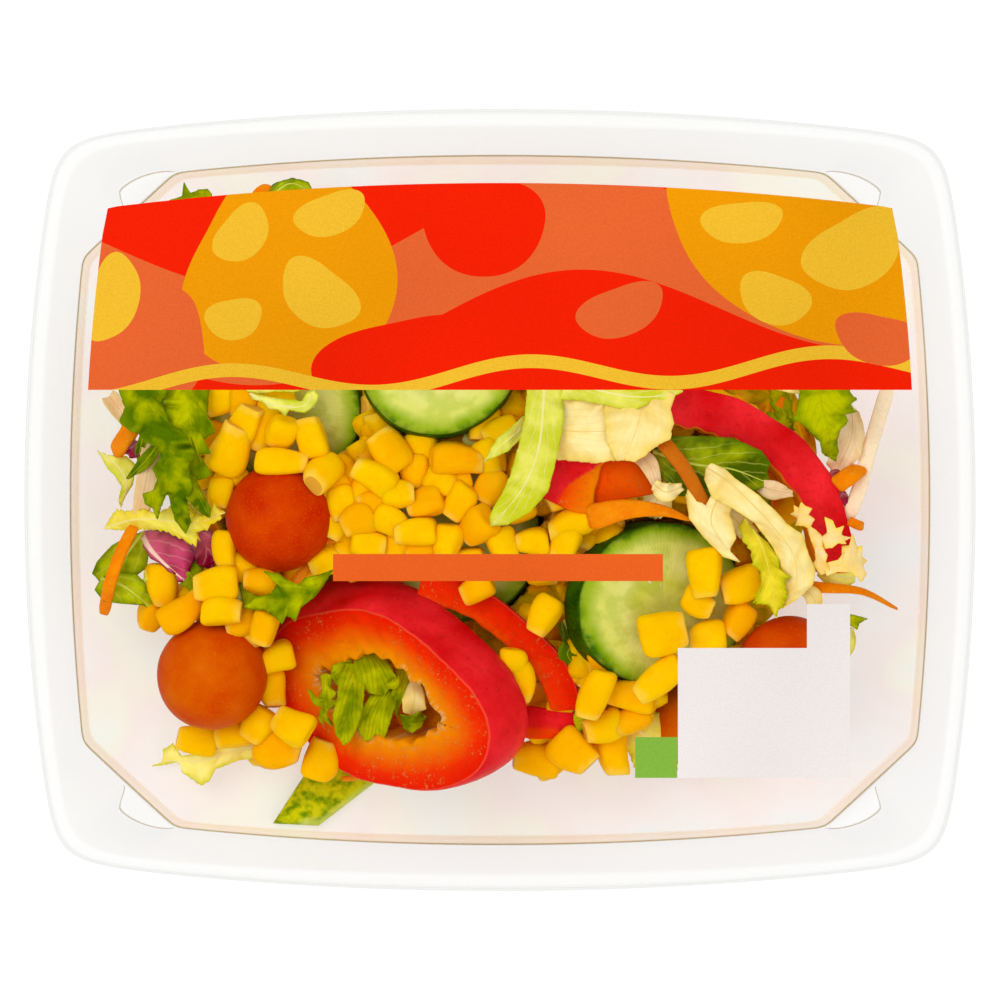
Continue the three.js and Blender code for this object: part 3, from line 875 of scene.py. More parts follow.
CUCUMBERS = [
    {"at": (-15.6, 35, 41), "radius": 20, "height": 7.5, "lean": 10, "towards": 90},
    {"at": (38.8, -26, 33), "radius": 20.6, "height": 10.6, "lean": 24, "towards": 352, "longer": 1.13},
    {"at": (-11.2, -8.7, 16), "radius": 22.4, "height": 7.5, "lean": 9, "towards": 140},
    {"at": (-53.8, 24, 27), "radius": 20.5, "height": 7.5, "lean": 20, "towards": 225},
]


def cucumber_patch(piece, seed):
    """A disc with a softly rounded edge: its radius ripples a little and its cut faces dip towards the seeds.
    A slice cut at a slant is longer one way."""
    rng = np.random.default_rng(seed)
    around = angles_round(120)[None, :]
    half = piece["height"] / 2
    shares = np.array([0.04, 0.14, 0.26, 0.38, 0.5, 0.62, 0.74, 0.84, 0.91, 0.955, 0.985, 1, 1, 1])
    levels = np.array([1, 1, 1, 1, 1, 1, 1, 1, 1, 0.985, 0.93, 0.8, 0.4, 0])
    share = np.concatenate([shares, shares[-2::-1]])[:, None]
    level = np.concatenate([levels, -levels[-2::-1]])[:, None]
    ripple = 1 + 0.012 * np.sin(3 * around + seed)
    ripple = ripple + 0.008 * ripples(rng, np.cos(around) * 9, np.sin(around) * 9, 6)
    reach = piece["radius"] * share * ripple * 0.99
    east, north = reach * np.cos(around) * piece.get("longer", 1), reach * np.sin(around)
    dip = 0.35 * np.exp(-((share - 0.5) / 0.22) ** 2) * ripples(rng, east, north, 7)
    up = level * half + np.where(np.abs(level) > 0.9, dip * np.sign(level), 0)
    points = leaned(np.stack([east, north, up], axis=-1), piece["at"], piece["lean"], piece["towards"])
    face = np.broadcast_to(smoothed(0.82, 0.95, np.abs(level)), east.shape)
    return lofted(points, face=face, east=east / piece["radius"] / piece.get("longer", 1),
                  north=north / piece["radius"], pale=0)


def cucumber_material():
    """Cut face: green under the skin, then pale flesh with fine rays, and three wet seed chambers with pale
    seeds. Side: dark green skin, mottled lighter along its length, or, where the field pale is 1, light green
    with streaks."""
    material = new_material("cucumber")
    place = object_place()
    face, east, north = (field(name) for name in ("face", "east", "north"))
    distance = output("ShaderNodeVectorMath", {0: vector(east, north)}, "Value", operation="LENGTH")
    around = maths("ARCTAN2", north, east)
    wander = noise(place, 6, 3) * 0.14 + (distance - 0.07)
    flesh = ramp(wander, (0.0, (222, 220, 104)), (0.3, (212, 212, 80)), (0.48, (230, 228, 130)),
                 (0.76, (220, 222, 106)), (0.9, (140, 172, 10)), (0.985, (58, 104, 0)))
    chambers = remapped(maths("COSINE", around * 3.0), 0.0, 0.6)
    wet = chambers * (remapped(wander, 0.08, 0.2) * remapped(wander, 0.58, 0.46))
    flesh = blended(wet * 0.4, flesh, (160, 172, 34))
    grid = vector(around * 3.2, distance * 3.4)
    cells = output("ShaderNodeTexVoronoi", {"Vector": grid, "Scale": 1.7, "Randomness": 0.6})
    seeds = remapped(cells, 0.3, 0.2) * wet
    flesh = blended(seeds, flesh, (232, 232, 170))
    rays = texture(vector(around * 9.0, distance), 3.0, 3.0)
    flesh = blended(remapped(rays, 0.45, 0.7, 0.0, 0.05), flesh, (226, 234, 150))
    flesh = blended(remapped(noise(place, 5, 4), 0.45, 0.6, 0.0, 0.5), flesh, (178, 192, 50))
    skin, _ = mottled([(14, 60, 0), (54, 98, 0), (110, 140, 20)], 6.0, 1.0, 0.25)
    light_skin = blended(remapped(noise(place, 2.4, 4), 0.4, 0.62), (206, 204, 10), (112, 146, 0))
    base = blended(face, blended(field("pale"), skin, light_skin), flesh)
    return finish_material(material, base, remapped(wet, 0.0, 1.0, 0.36, 0.18), 0.03, (244, 240, 160),
                           (seeds * 0.8 + rays, 0.2), Subsurface_Weight=0.1, Subsurface_Scale=0.004)


def wedge_patch():
    """A slip of cucumber side on the floor: an outline of four soft corners, domed so that its skin faces
    up."""
    low, high = box_mm("cucumber_wedge")
    corners = np.array([(-57.6, -82), (-46, -82.6), (-25, -66.5), (-42, -58)], float)
    middle = corners.mean(axis=0)
    steps = np.linspace(0, 1, 12, endpoint=False)[:, None]
    following = np.roll(corners, -1, axis=0)
    outline = np.vstack([here + (there - here) * steps for here, there in zip(corners, following)])
    section = [(0.2, 1), (0.5, 0.96), (0.75, 0.86), (0.92, 0.7), (0.99, 0.5), (1, 0.3), (0.98, 0.02),
               (0.6, 0)]
    rings = []
    for share, level in section:
        flat = middle + (outline - middle) * share
        rings.append(np.column_stack([flat, np.full(len(flat), low[2] + (high[2] - low[2]) * level)]))
    edge = smoothed(0.72, 0.98, np.array(section)[:, :1])
    x, y = (outline - middle).T / 16
    return lofted(np.array(rings), face=edge * smoothed(0, 0.2, x - y), east=0.75, north=0.2, pale=1)


def build_cucumbers():
    material = cucumber_material()
    for index, piece in enumerate(CUCUMBERS, start=1):
        build_piece(f"cucumber_{index}", [cucumber_patch(piece, 20 + index)], material,
                    [f"cucumber_slice_{index}"])
    build_piece("cucumber_side", [wedge_patch()], material, ["cucumber_wedge"])


# ---------------------------------------------------------------- the heap's surface

def heap_share(east, north):
    """0 in the heap's middle and 1 at its outline, a rounded box."""
    x = np.abs(east - HEAP_MIDDLE[0]) / HEAP_HALF[0]
    y = np.abs(north - HEAP_MIDDLE[1]) / HEAP_HALF[1]
    return (x**HEAP_SQUARENESS + y**HEAP_SQUARENESS) ** (1 / HEAP_SQUARENESS)


def heap_top(east, north):
    """Height of the salad's top layer: level in the middle and falling to its outline."""
    return HEAP_EDGE + HEAP_RISE * (1 - np.clip(heap_share(east, north), 0, 1) ** 6)


TOPPING_BOXES = [
    *(box_mm(f"cherry_tomato_{index}") for index in (1, 2, 3, 4)),
    (box_mm("pepper_ring_1")[0] - (8, 0, 0), box_mm("pepper_ring_1")[1] + (0, 8, 0)),  # its skin flares out
    box_mm("pepper_ring_2"),
    *(box_mm(f"cucumber_slice_{index}") for index in (1, 2, 3, 4)),
]


def covered_height(east, north):
    """Height under the lowest topping over a place."""
    lowest = np.full(np.shape(east), float(NOTHING_OVER))
    for low, high in TOPPING_BOXES:
        middle, half = (low + high) / 2, (high - low) / 2
        over = ((east - middle[0]) / half[0]) ** 2 + ((north - middle[1]) / half[1]) ** 2 < 1
        lowest = np.where(over, np.minimum(lowest, low[2]), lowest)
    return lowest


def core_patch():
    """The mound under the loose pieces, in from the heap's outline and below its top, with lumps as high as a
    kernel and ridges as long as a leaf."""
    rng = np.random.default_rng(40)
    around = angles_round(240)[None, :]
    share = np.linspace(0.02, 1, 90)[:, None] ** 0.8
    uneven = 1 + 0.03 * np.sin(3 * around + 0.6) + 0.03 * np.sin(7 * around + 2) + 0.02 * np.sin(12 * around)
    x, y = np.cos(around) / CORE_HALF[0], np.sin(around) / CORE_HALF[1]
    reach = 1 / (np.abs(x) ** 3 + np.abs(y) ** 3) ** (1 / 3) * share * uneven
    east = HEAP_MIDDLE[0] + reach * np.cos(around)
    north = HEAP_MIDDLE[1] + reach * np.sin(around)
    lumps = np.abs(ripples(rng, east, north, 12)) * 4 + 1.2 * ripples(rng, east, north, 6)
    up = heap_top(east, north) - CORE_DEPTH + lumps - 16 * smoothed(0.8, 1, share)
    up = np.minimum(up, covered_height(east, north) - 1)
    top = np.stack([east, north, np.maximum(up, 1.2)], axis=-1)
    floor = np.stack([east[-1], north[-1], np.full(240, 1.0)], axis=-1)[None]
    return lofted(np.concatenate([top, floor]))


def core_material():
    """Mix of the salad's own colours, dimmed as painted shade of the heap's depths, seen only through gaps.
    """
    material = new_material("salad_core")
    place = object_place()
    # painted shade: dim oranges and olives for the deep gaps between the pieces
    mixed = ramp(noise(place, 11, 4), (0.3, (150, 78, 0)), (0.42, (200, 112, 0)), (0.5, (226, 156, 0)),
                 (0.58, (168, 140, 0)), (0.72, (226, 176, 20)))
    return finish_material(material, mixed, 0.5, 0.0, relief=(noise(place, 2.5, 3), 0.8))


def build_core():
    build_piece("salad_core", [core_patch()], core_material(), ["salad_heap"])


# ---------------------------------------------------------------- sweetcorn

def kernel(rng, at, length, width, turn, tilt=0, sides=16, cuts=10):
    """A kernel from its cut foot to its crown: a rounded box in section, widest two thirds up, with a dimpled
    crown; turn is the compass angle of its crown and tilt lifts it. foot is 1 at the cut."""
    profile = [(0, 0.56), (0.02, 0.68), (0.12, 0.78), (0.3, 0.9), (0.5, 0.98), (0.7, 1), (0.85, 0.96),
               (0.95, 0.82), (0.99, 0.56), (0.97, 0.24)]
    down, reach = curve_through(profile, cuts).T
    angle = angles_round(sides)[None, :]
    squareness = rng.uniform(2.6, 4.4)
    rounded = (np.abs(np.cos(angle)) ** squareness + np.abs(np.sin(angle)) ** squareness) ** (-1 / squareness)
    bumps = 1 + 0.05 * np.sin(2 * angle + 5 * down[:, None] + rng.uniform(0, TURN))
    bumps = bumps + 0.045 * np.sin(3 * angle + rng.uniform(0, TURN))
    radius = reach[:, None] * rounded * bumps
    thick = min(width, 7.2) * rng.uniform(0.8, 0.95)
    bend = rng.uniform(-0.09, 0.09) * length
    along = (down - 0.5) * length
    points = np.stack([
        np.broadcast_to(along[:, None], radius.shape) + 0.03 * length * np.sin(angle + rng.uniform(0, TURN)),
        radius * np.cos(angle) * width / 2 + bend * (4 * (down - 0.5) ** 2)[:, None],
        radius * np.sin(angle) * thick / 2,
    ], axis=-1)
    points = turned(points, (1, 0, 0), rng.uniform(-25, 25))
    points = turned(points, (0, 1, 0), -tilt)
    points = turned(points, (0, 0, 1), turn) + np.array(at)
    return lofted(points, foot=(1 - down)[:, None], shade=rng.uniform(0, 1))


# Kernels that lie on top: (east, north, length, width, compass angle of the crown, lift, tilt). The lift is
# counted from the heap's top layer.
TOP_KERNELS = [
    # round the first tomato, from the upper left clockwise
    (-69.9, 25.2, 9, 8, 30, 3, 10), (-64.3, 24.5, 8, 7.5, 80, 3, 0), (-67, 12.4, 13, 10, 248, 5, -6),
    (-63.8, 19, 10.4, 8, 244, 4, -22), (-71.6, 15, 9, 7, 80, 0, 0), (-58.5, 18.6, 14, 6.8, 75, 1, 0),
    (-54.7, 17, 8.2, 8, 60, 5, 25), (-46.9, 15.4, 10.5, 7.6, -75, 5, 0), (-54.4, 9.6, 13.4, 6.6, 178, 6, 0),
    (-44.2, 7, 10.5, 8.6, 45, 6, -48), (-55.5, 25, 9, 7.5, 20, 0, 0), (-70.1, 2, 8, 6.3, 80, 3, 0),
    (-74.2, 6.4, 8, 7, 110, 0, 0), (-67.6, 6.2, 8, 7, 40, 1, 0), (-69.1, -12.2, 9.4, 6.4, 90, 3, 0),
    (-64.3, -17.4, 9, 7, 150, -1, 0), (-70.9, -21.1, 11.4, 8.8, 10, 6, 0),
    (-69.6, -27.4, 10.2, 7.4, 182, 6, 0), (-59.8, -20.3, 8.8, 6.8, -10, 1, 0),
    (-79.6, -28.2, 12.5, 7.6, 215, 7, 0), (-84.8, -21.3, 11, 8, 95, 5, 0), (-87.4, -28.6, 8, 7, 60, 4, 20),
    (-59, -31.9, 8.6, 6.8, 75, 4, 0), (-64.8, -30.6, 8, 7, 20, 0, 0), (-40.8, -5.6, 9, 7, 60, 0, 0),
    (-43.6, -15.2, 9, 7, 20, -2, 0), (-76.6, -14, 8, 7, 10, -3, 0),
    # the middle, from the left
    (-27.3, 12.2, 11.4, 9.8, -60, 4, 0), (-30.9, 6, 12, 7, -30, 6, 0), (-25.6, 1.6, 8.4, 7, 180, 5, 0),
    (-21.2, 7.4, 9, 7.6, 90, 1, 0), (-10.9, 10.5, 13, 8, 177, 5, 0), (-11.4, 4.6, 9, 6, 10, 2, 0),
    (-9.8, -0.4, 9.5, 7.4, 60, 4, 10), (-39.4, -0.9, 9, 7.4, 100, 2, 0), (-35.4, -4.8, 9, 8, 20, 4, 0),
    (-27.3, -5, 9, 7.6, 150, 4, 0), (-18.5, -0.6, 9.4, 7.8, 20, 4, 0), (-20.9, -7.8, 10.5, 7, 5, 5, 0),
    (-13.2, -10.2, 8.6, 7.4, 80, 4, 0), (-5.4, -6.6, 9.4, 9, 40, 5, 40), (0.9, -11.6, 9, 7.6, 110, 4, 0),
    (4.6, -2.4, 8, 7, 30, 2, 0), (8.2, -10.2, 8.4, 6.6, 0, 4, 0), (16.4, -10.8, 9, 7.4, 70, 4, 0),
    (-34.2, 1.6, 9, 7.4, 70, 2, 0), (-33, -10.8, 9, 7.2, 170, 3, 0), (-19.5, -12, 8.6, 6.6, 15, 1, 0),
    (-39.3, 6.6, 9, 7.6, 130, 0, 0), (-19, 13.8, 9, 7.6, 120, 1, 0), (-2.4, 3.4, 9.6, 7.4, 60, 3, 0),
    (-3, 10.6, 9.6, 7.8, 110, 3, 0), (-27, -12.4, 9, 7.4, 60, 1, 0), (-8.2, -15.4, 8.8, 7.6, 0, 0, 0),
    (-31.6, -1, 8.6, 7.6, 0, 3, 0), (-14.6, 5.2, 8.6, 7.4, 150, 3, 0), (-41.2, 2.9, 8.4, 7, 30, 1, 0),
    (0.4, 17, 9.5, 7.6, 20, 3, 0), (-4.4, 19.4, 9.5, 7.6, 80, 2, 0), (15.4, 1.4, 9, 7.4, 30, 3, 0),
    (17.7, -5.8, 12, 7.4, 20, 4, 0), (12.2, 6.6, 9, 7.6, 70, 3, 0), (-5.7, -22, 8.6, 7, 30, -1, 0),
    (10.8, -28.6, 10.4, 7.4, 62, 4, 0),
    # by the pepper rings
    (-52, -56.7, 10.4, 9, -25, 9, 15), (-56, -62.6, 12, 10.4, 170, 9, 0),
    (-44.9, -65.4, 10.4, 8.8, 255, 9, 0), (-60.6, -56.4, 9, 8.4, 60, 4, 0),
    (-57.6, -47.4, 9.4, 7.6, 100, -6, 0), (-56, -39.4, 9, 7.4, 20, -6, 0),
    (-76.4, -60.6, 10.4, 7.6, -10, 7, 0), (-66.6, -58.4, 10, 7.4, 15, 4, 0), (3.5, -41, 8, 6.8, 90, 0, 0),
    (5.6, -45.6, 11, 6.4, 95, 1, 0), (9.2, -65, 11.6, 8.4, -10, 5, 0), (18.2, -63, 11.6, 10.6, 140, 9, 0),
    (23.5, -48.3, 13, 7.8, 67, 9, 0), (26, -57, 10, 8, 20, 6, 0), (28.3, -63.6, 11.4, 8, 100, 8, 0),
    (32.6, -48.9, 12.4, 7.8, -10, 4, 0), (32.6, -55.2, 10, 6.8, 25, 5, 0), (12.6, -66.4, 9, 7.4, 40, 1, 0),
    # on the cucumber slice
    (40.6, -33.6, 12.4, 11.4, 190, 8, 10), (39.8, -44.6, 14, 7.4, 40, 10, 0),
    (51.2, -18.1, 12.6, 8.8, 92, 8, 12), (60.2, -21.4, 10.4, 9.2, 20, 6, 0),
    (49.2, -25.8, 8.4, 6.8, 150, 5, 0), (59.6, -30, 9.4, 7.4, 60, 3, 0), (52, -34, 9.4, 8, 10, 3, 0),
    (26.4, -40.4, 9, 7.4, 120, 1, 0),
]

# Where loose kernels fill in below: (east, north, reach east, reach north, count).
KERNEL_FIELDS = [
    (-30, 6, 42, 24, 120), (-66, -16, 16, 18, 34), (-58, -56, 12, 6, 12), (20, -50, 18, 12, 44),
    (44, -36, 24, 20, 56), (8, -12, 30, 22, 60), (-10, 46, 80, 26, 110), (20, 10, 60, 36, 90),
    (-66, 24, 14, 14, 30),
]


def scattered_places(rng, fields):
    """Random places, denser towards the middle of each oval field."""
    for east, north, reach_east, reach_north, count in fields:
        reach = rng.uniform(0, 1, count) ** 0.55
        angle = rng.uniform(0, TURN, count)
        places = east + reach * reach_east * np.cos(angle), north + reach * reach_north * np.sin(angle)
        for x, y in zip(*places):
            if heap_share(x, y) < 0.97:
                yield x, y


def sweetcorn_material():
    """Saturated yellow skin, paler and browner towards the cut foot, wet and a little translucent."""
    material = new_material("sweetcorn")
    place, foot = object_place(), field("foot")
    skins, _ = mottled([(255, 190, 0), (255, 204, 0), (252, 172, 0)], 5.0, 1.2, 0.3)
    tone = blended(remapped(field("shade"), 0.35, 0.9), skins, filtered(skins, (250, 226, 160)))
    pale = blended(noise(place, 1.4, 3), (250, 196, 40), (248, 212, 100))
    base = blended(remapped(noise(place, 2.6) * 0.4 + foot, 1.02, 1.3), tone, pale)
    base = blended(remapped(foot, 0.995, 1.0), base, (226, 164, 50))
    return finish_material(material, base, 0.2, 0.04, (255, 226, 120), (noise(place, 1.8, 3), 0.1),
                           Subsurface_Weight=0.2, Subsurface_Scale=0.003, Subsurface_Radius=(1.0, 0.6, 0.1))


def build_sweetcorn():
    rng = np.random.default_rng(50)
    patches = []
    for east, north, length, width, turn, lift, tilt in TOP_KERNELS:
        up = heap_top(east, north) + lift - 1
        patches.append(kernel(rng, (east, north, up), length, width, turn, tilt + rng.uniform(-8, 8), 20, 14))
    for east, north in scattered_places(rng, KERNEL_FIELDS):
        up = min(heap_top(east, north) - rng.uniform(3.5, 8), covered_height(east, north) - 3)
        length, width = rng.uniform(8, 11), rng.uniform(7, 9)
        turn, tilt = rng.uniform(0, 360), rng.uniform(-50, 50)
        loose = kernel(rng, (east, north, up), length, width, turn, tilt, sides=9, cuts=7)
        if loose["points"][:, 2].min() > WALL:
            patches.append(loose)
    build_piece("sweetcorn_kernels", patches, sweetcorn_material())


# ---------------------------------------------------------------- leaves

def crumpled(rng, down, reach, out, ruffle, phase):
    """Height over the leaf's level: waves along the margin, (height, length) given by ruffle, and soft
    creases."""
    wave = np.sin(TURN * down / ruffle[1] + phase + 2.2 * ripples(rng, down, reach * 0.5, 9))
    creases = 0.35 * ripples(rng, down, reach, 6)
    return ruffle[0] * (out**1.7 * wave + creases + 0.12 * ripples(rng, down, reach, 2.5))


def path_length(path):
    """Distance from the start of a path to each of its points."""
    steps = np.linalg.norm(np.diff(path, axis=0), axis=1)
    return np.concatenate([[0], np.cumsum(steps)])


def margin_along(points, rows):
    """The places of a margin, a run of straight steps between points, at even shares of its length."""
    points = np.array(points, float)
    length = path_length(points)
    places = np.linspace(0, length[-1], rows)
    return np.stack([np.interp(places, length, points[:, axis]) for axis in (0, 1)], axis=1)


def outlined(rng, spine, left, right, rows=110, columns=15, ruffle=(0.7, 9), cup=0.0, frill=0.05, teeth=2.2,
             shade=None, bare=0, pointed=False):
    """A leaf from its foot to its tip between two margins, which end at the spine's tip and, where it is
    pointed, also start at its foot. A point at share v of the way out lies at spine (1 - |v|) + margin |v|,
    and cup lifts it by its distance from the spine. frill is how far the margin's teeth, each teeth
    millimetres long, cut in. shade runs from 0, a dark leaf, to 1, and bare is 1 without a rib."""
    foot, tip = [spine[0][:2]] if pointed else [], [spine[-1][:2]]
    spine = curve_through(spine, rows)
    down = path_length(spine)[:, None]
    across = np.linspace(-1, 1, columns)[None, :]
    out = np.abs(across)
    phases = rng.uniform(0, TURN, 2)
    sides = []
    for points, phase in ((left, phases[0]), (right, phases[1])):
        saw = (down[:, 0] / teeth + 0.4 * ripples(rng, down[:, 0], phase, 3 * teeth)) % 1
        margin = margin_along(foot + points + tip, rows)
        sides.append(spine[:, :2] + (margin - spine[:, :2]) * (1 - frill * saw[:, None]))
    margin = np.where((across < 0)[..., None], sides[0][:, None], sides[1][:, None])
    flat = spine[:, None, :2] * (1 - out[..., None]) + margin * out[..., None]
    reach = np.linalg.norm(flat - spine[:, None, :2], axis=-1)
    phase = np.where(across < 0, phases[0], phases[1])
    crumple = crumpled(rng, down, reach * np.sign(across), out, ruffle, phase)
    up = spine[:, None, 2] + cup * reach + crumple
    points = np.concatenate([flat, up[..., None]], axis=-1)
    along = np.linspace(0, 1, rows)[:, None]
    shade = rng.uniform(0, 1) if shade is None else shade
    return sheet(points, along=along, down=down, aside=reach + 9 * bare, edge=out, shade=shade,
                 lift=crumple / ruffle[0])


def blade(rng, spine, half_widths, rows=44, columns=13, lobes=(0, 0), teeth=(0, 0), sweep=0.3,
          ruffle=(0.5, 8), cup=0.1, shade=None, bare=0):
    """A leaf on a curved spine. Its margin lies half_widths out, drawn in by lobes (count, depth) and teeth
    (count, depth), and swept forward. It rises by cup times the square of the way out, and bare is 1 without
    a rib."""
    spine = curve_through(spine, rows)
    half = np.maximum(curve_through(half_widths, rows), 0.05)
    along = np.linspace(0, 1, rows)[:, None]
    across = np.linspace(-1, 1, columns)[None, :]
    ahead = unit(np.gradient(spine, axis=0))
    aside = unit(np.cross((0, 0, 1), ahead))
    up = np.cross(ahead, aside)
    shift = np.where(across < 0, rng.uniform(), rng.uniform())
    notch = (0.5 + 0.5 * np.cos(TURN * (lobes[0] * along + shift))) ** 1.6
    saw = 1 - (teeth[0] * (along + 0.02 * ripples(rng, along * 9, across * 0, 2)) + shift * 3) % 1
    margin = (1 - lobes[1] * notch) * (1 - teeth[1] * saw)
    reach = half * margin * across
    out = np.abs(across)
    forward = sweep * half * margin * out**1.5
    down = path_length(spine)[:, None]
    crumple = crumpled(rng, down, reach, out, ruffle, shift * TURN)
    lift = cup * half * out**2 + crumple
    steps = [ahead[:, None, :] * forward[..., None], aside[:, None, :] * reach[..., None],
             up[:, None, :] * lift[..., None]]
    points = spine[:, None, :] + sum(steps)
    shade = rng.uniform(0, 1) if shade is None else shade
    return sheet(points, along=along, down=down, aside=np.abs(reach) + 9 * bare, edge=out, shade=shade,
                 lift=crumple / ruffle[0])


def frond(rng, spine, count, length, lobe_half):
    """A curly leaf: a blade down the rib, and toothed lobes that leave it forward on both sides in turn, each
    about length long."""
    path = curve_through(spine, 101)
    tips = []
    for index in range(count):
        share = (index + rng.uniform(0.2, 0.8)) / count
        step = int(share * 99)
        ahead = unit(path[step + 1] - path[step])
        angle = math.radians(rng.uniform(40, 80)) * (1 if index % 2 else -1)
        reach = length * rng.uniform(0.7, 1.25) * (1.1 - 0.5 * share)
        east = ahead[0] * math.cos(angle) - ahead[1] * math.sin(angle)
        north = ahead[0] * math.sin(angle) + ahead[1] * math.cos(angle)
        tips.append((step, path[step] + (east * reach, north * reach, rng.uniform(-2, 2))))
    widths = [lobe_half] + [lobe_half * 1.2] * (len(spine) - 2) + [0.4]
    ruffle = (1.0, 6)
    parts = [blade(rng, spine, widths, lobes=(5, 0.3), teeth=(11, 0.25), ruffle=ruffle)]
    for step, tip in tips:
        base = path[step]
        span = tip - base
        bow = unit(base - path[step + 1]) * np.linalg.norm(span) * 0.14
        lobe = [base, base + span * 0.33 + bow, base + span * 0.7 + bow * 0.8 + (0, 0, 0.8), tip]
        half = np.array([0.8, 1.05, 1.15, 0.8, 0.1]) * lobe_half * rng.uniform(0.85, 1.15)
        parts.append(blade(rng, lobe, half, rows=30, columns=9, teeth=(4, 0.5), sweep=0.9, ruffle=ruffle))
    return parts


def make_leaf_group():
    """A leaf's colour: mottled blade, lighter on its raised crumples and darker in its hollows as painted
    light and shade, paler towards its foot and rib, thin side veins, and its own margin.
    """
    deep, light, rib_tone, margin_tone, rib_width, vein_spacing, vein_share, foot, sideways = new_group(
        "leaf_tones", Deep=None, Light=None, Rib=None, Margin=None, Rib_Width=0.4, Vein_Spacing=3.0,
        Veins=0.4, Foot=0.1, Sideways=1.0)
    along, down, aside, edge = (field(name) for name in ("along", "down", "aside", "edge"))
    place = object_place()
    patches = remapped(noise(place, 7, 3), 0.36, 0.64)
    # painted light and shade: lighter on the raised crumples, darker in the hollows
    patches = field("lift") * 0.3 + ((field("shade") - 0.5) * 0.8 + patches)
    tone = blended(remapped(patches, 0.0, 1.0), deep, light)
    tone = blended(remapped(noise(place, 3) * 0.4 + edge, 0.8, 1.25), tone, margin_tone)
    turns = (down * sideways - aside * 1.3) / vein_spacing * TURN
    lines = remapped(maths("SINE", turns + noise(place, 4) * 5.0), 0.82, 0.98)
    veins = lines * remapped(edge, 1.0, 0.6)
    tone = blended(veins * vein_share, tone, rib_tone)
    rib = remapped(aside / (rib_width * remapped(along, 1.0, 0.0, 0.25, 1.0)), 1.1, 0.6)
    tone = blended(remapped(along, 0.75, 0.0) * foot, tone, rib_tone)
    tone = blended(rib, tone, rib_tone)
    return finish_group(Colour=tone, Veins=maths("MAXIMUM", veins, rib))


LEAF_TONES = make_leaf_group()


def leaf_material(name, tones, raised=0.3, **values):
    """A crisp leaf, a little glossy, in its tones for deep and light blade, rib and margin. Its veins run the
    more lengthwise the lower Sideways is, and stand up by raised."""
    material = new_material(name)
    leaf = placed(LEAF_TONES, **dict(zip(("Deep", "Light", "Rib", "Margin"), tones)), **values)
    height = noise(object_place(), 1.6, 3) * 0.8 + leaf["Veins"] * raised
    return finish_material(material, leaf["Colour"], 0.42, 0.02, (240, 236, 130), (height, 0.16))


def grown(seed, rows, fronds=(), fill=()):
    """The leaves of a kind: an outlined one for each row (spine, left, right, values), a blade for each row
    (spine, widths, values), then its random fronds and the small leaves that fill gaps."""
    rng = np.random.default_rng(seed)
    parts = [(outlined if len(places) == 3 else blade)(rng, *places, **values) for *places, values in rows]
    for frond_values in fronds:
        parts += frond(rng, *frond_values)
    return parts + (fill_leaves(*fill) if fill else [])


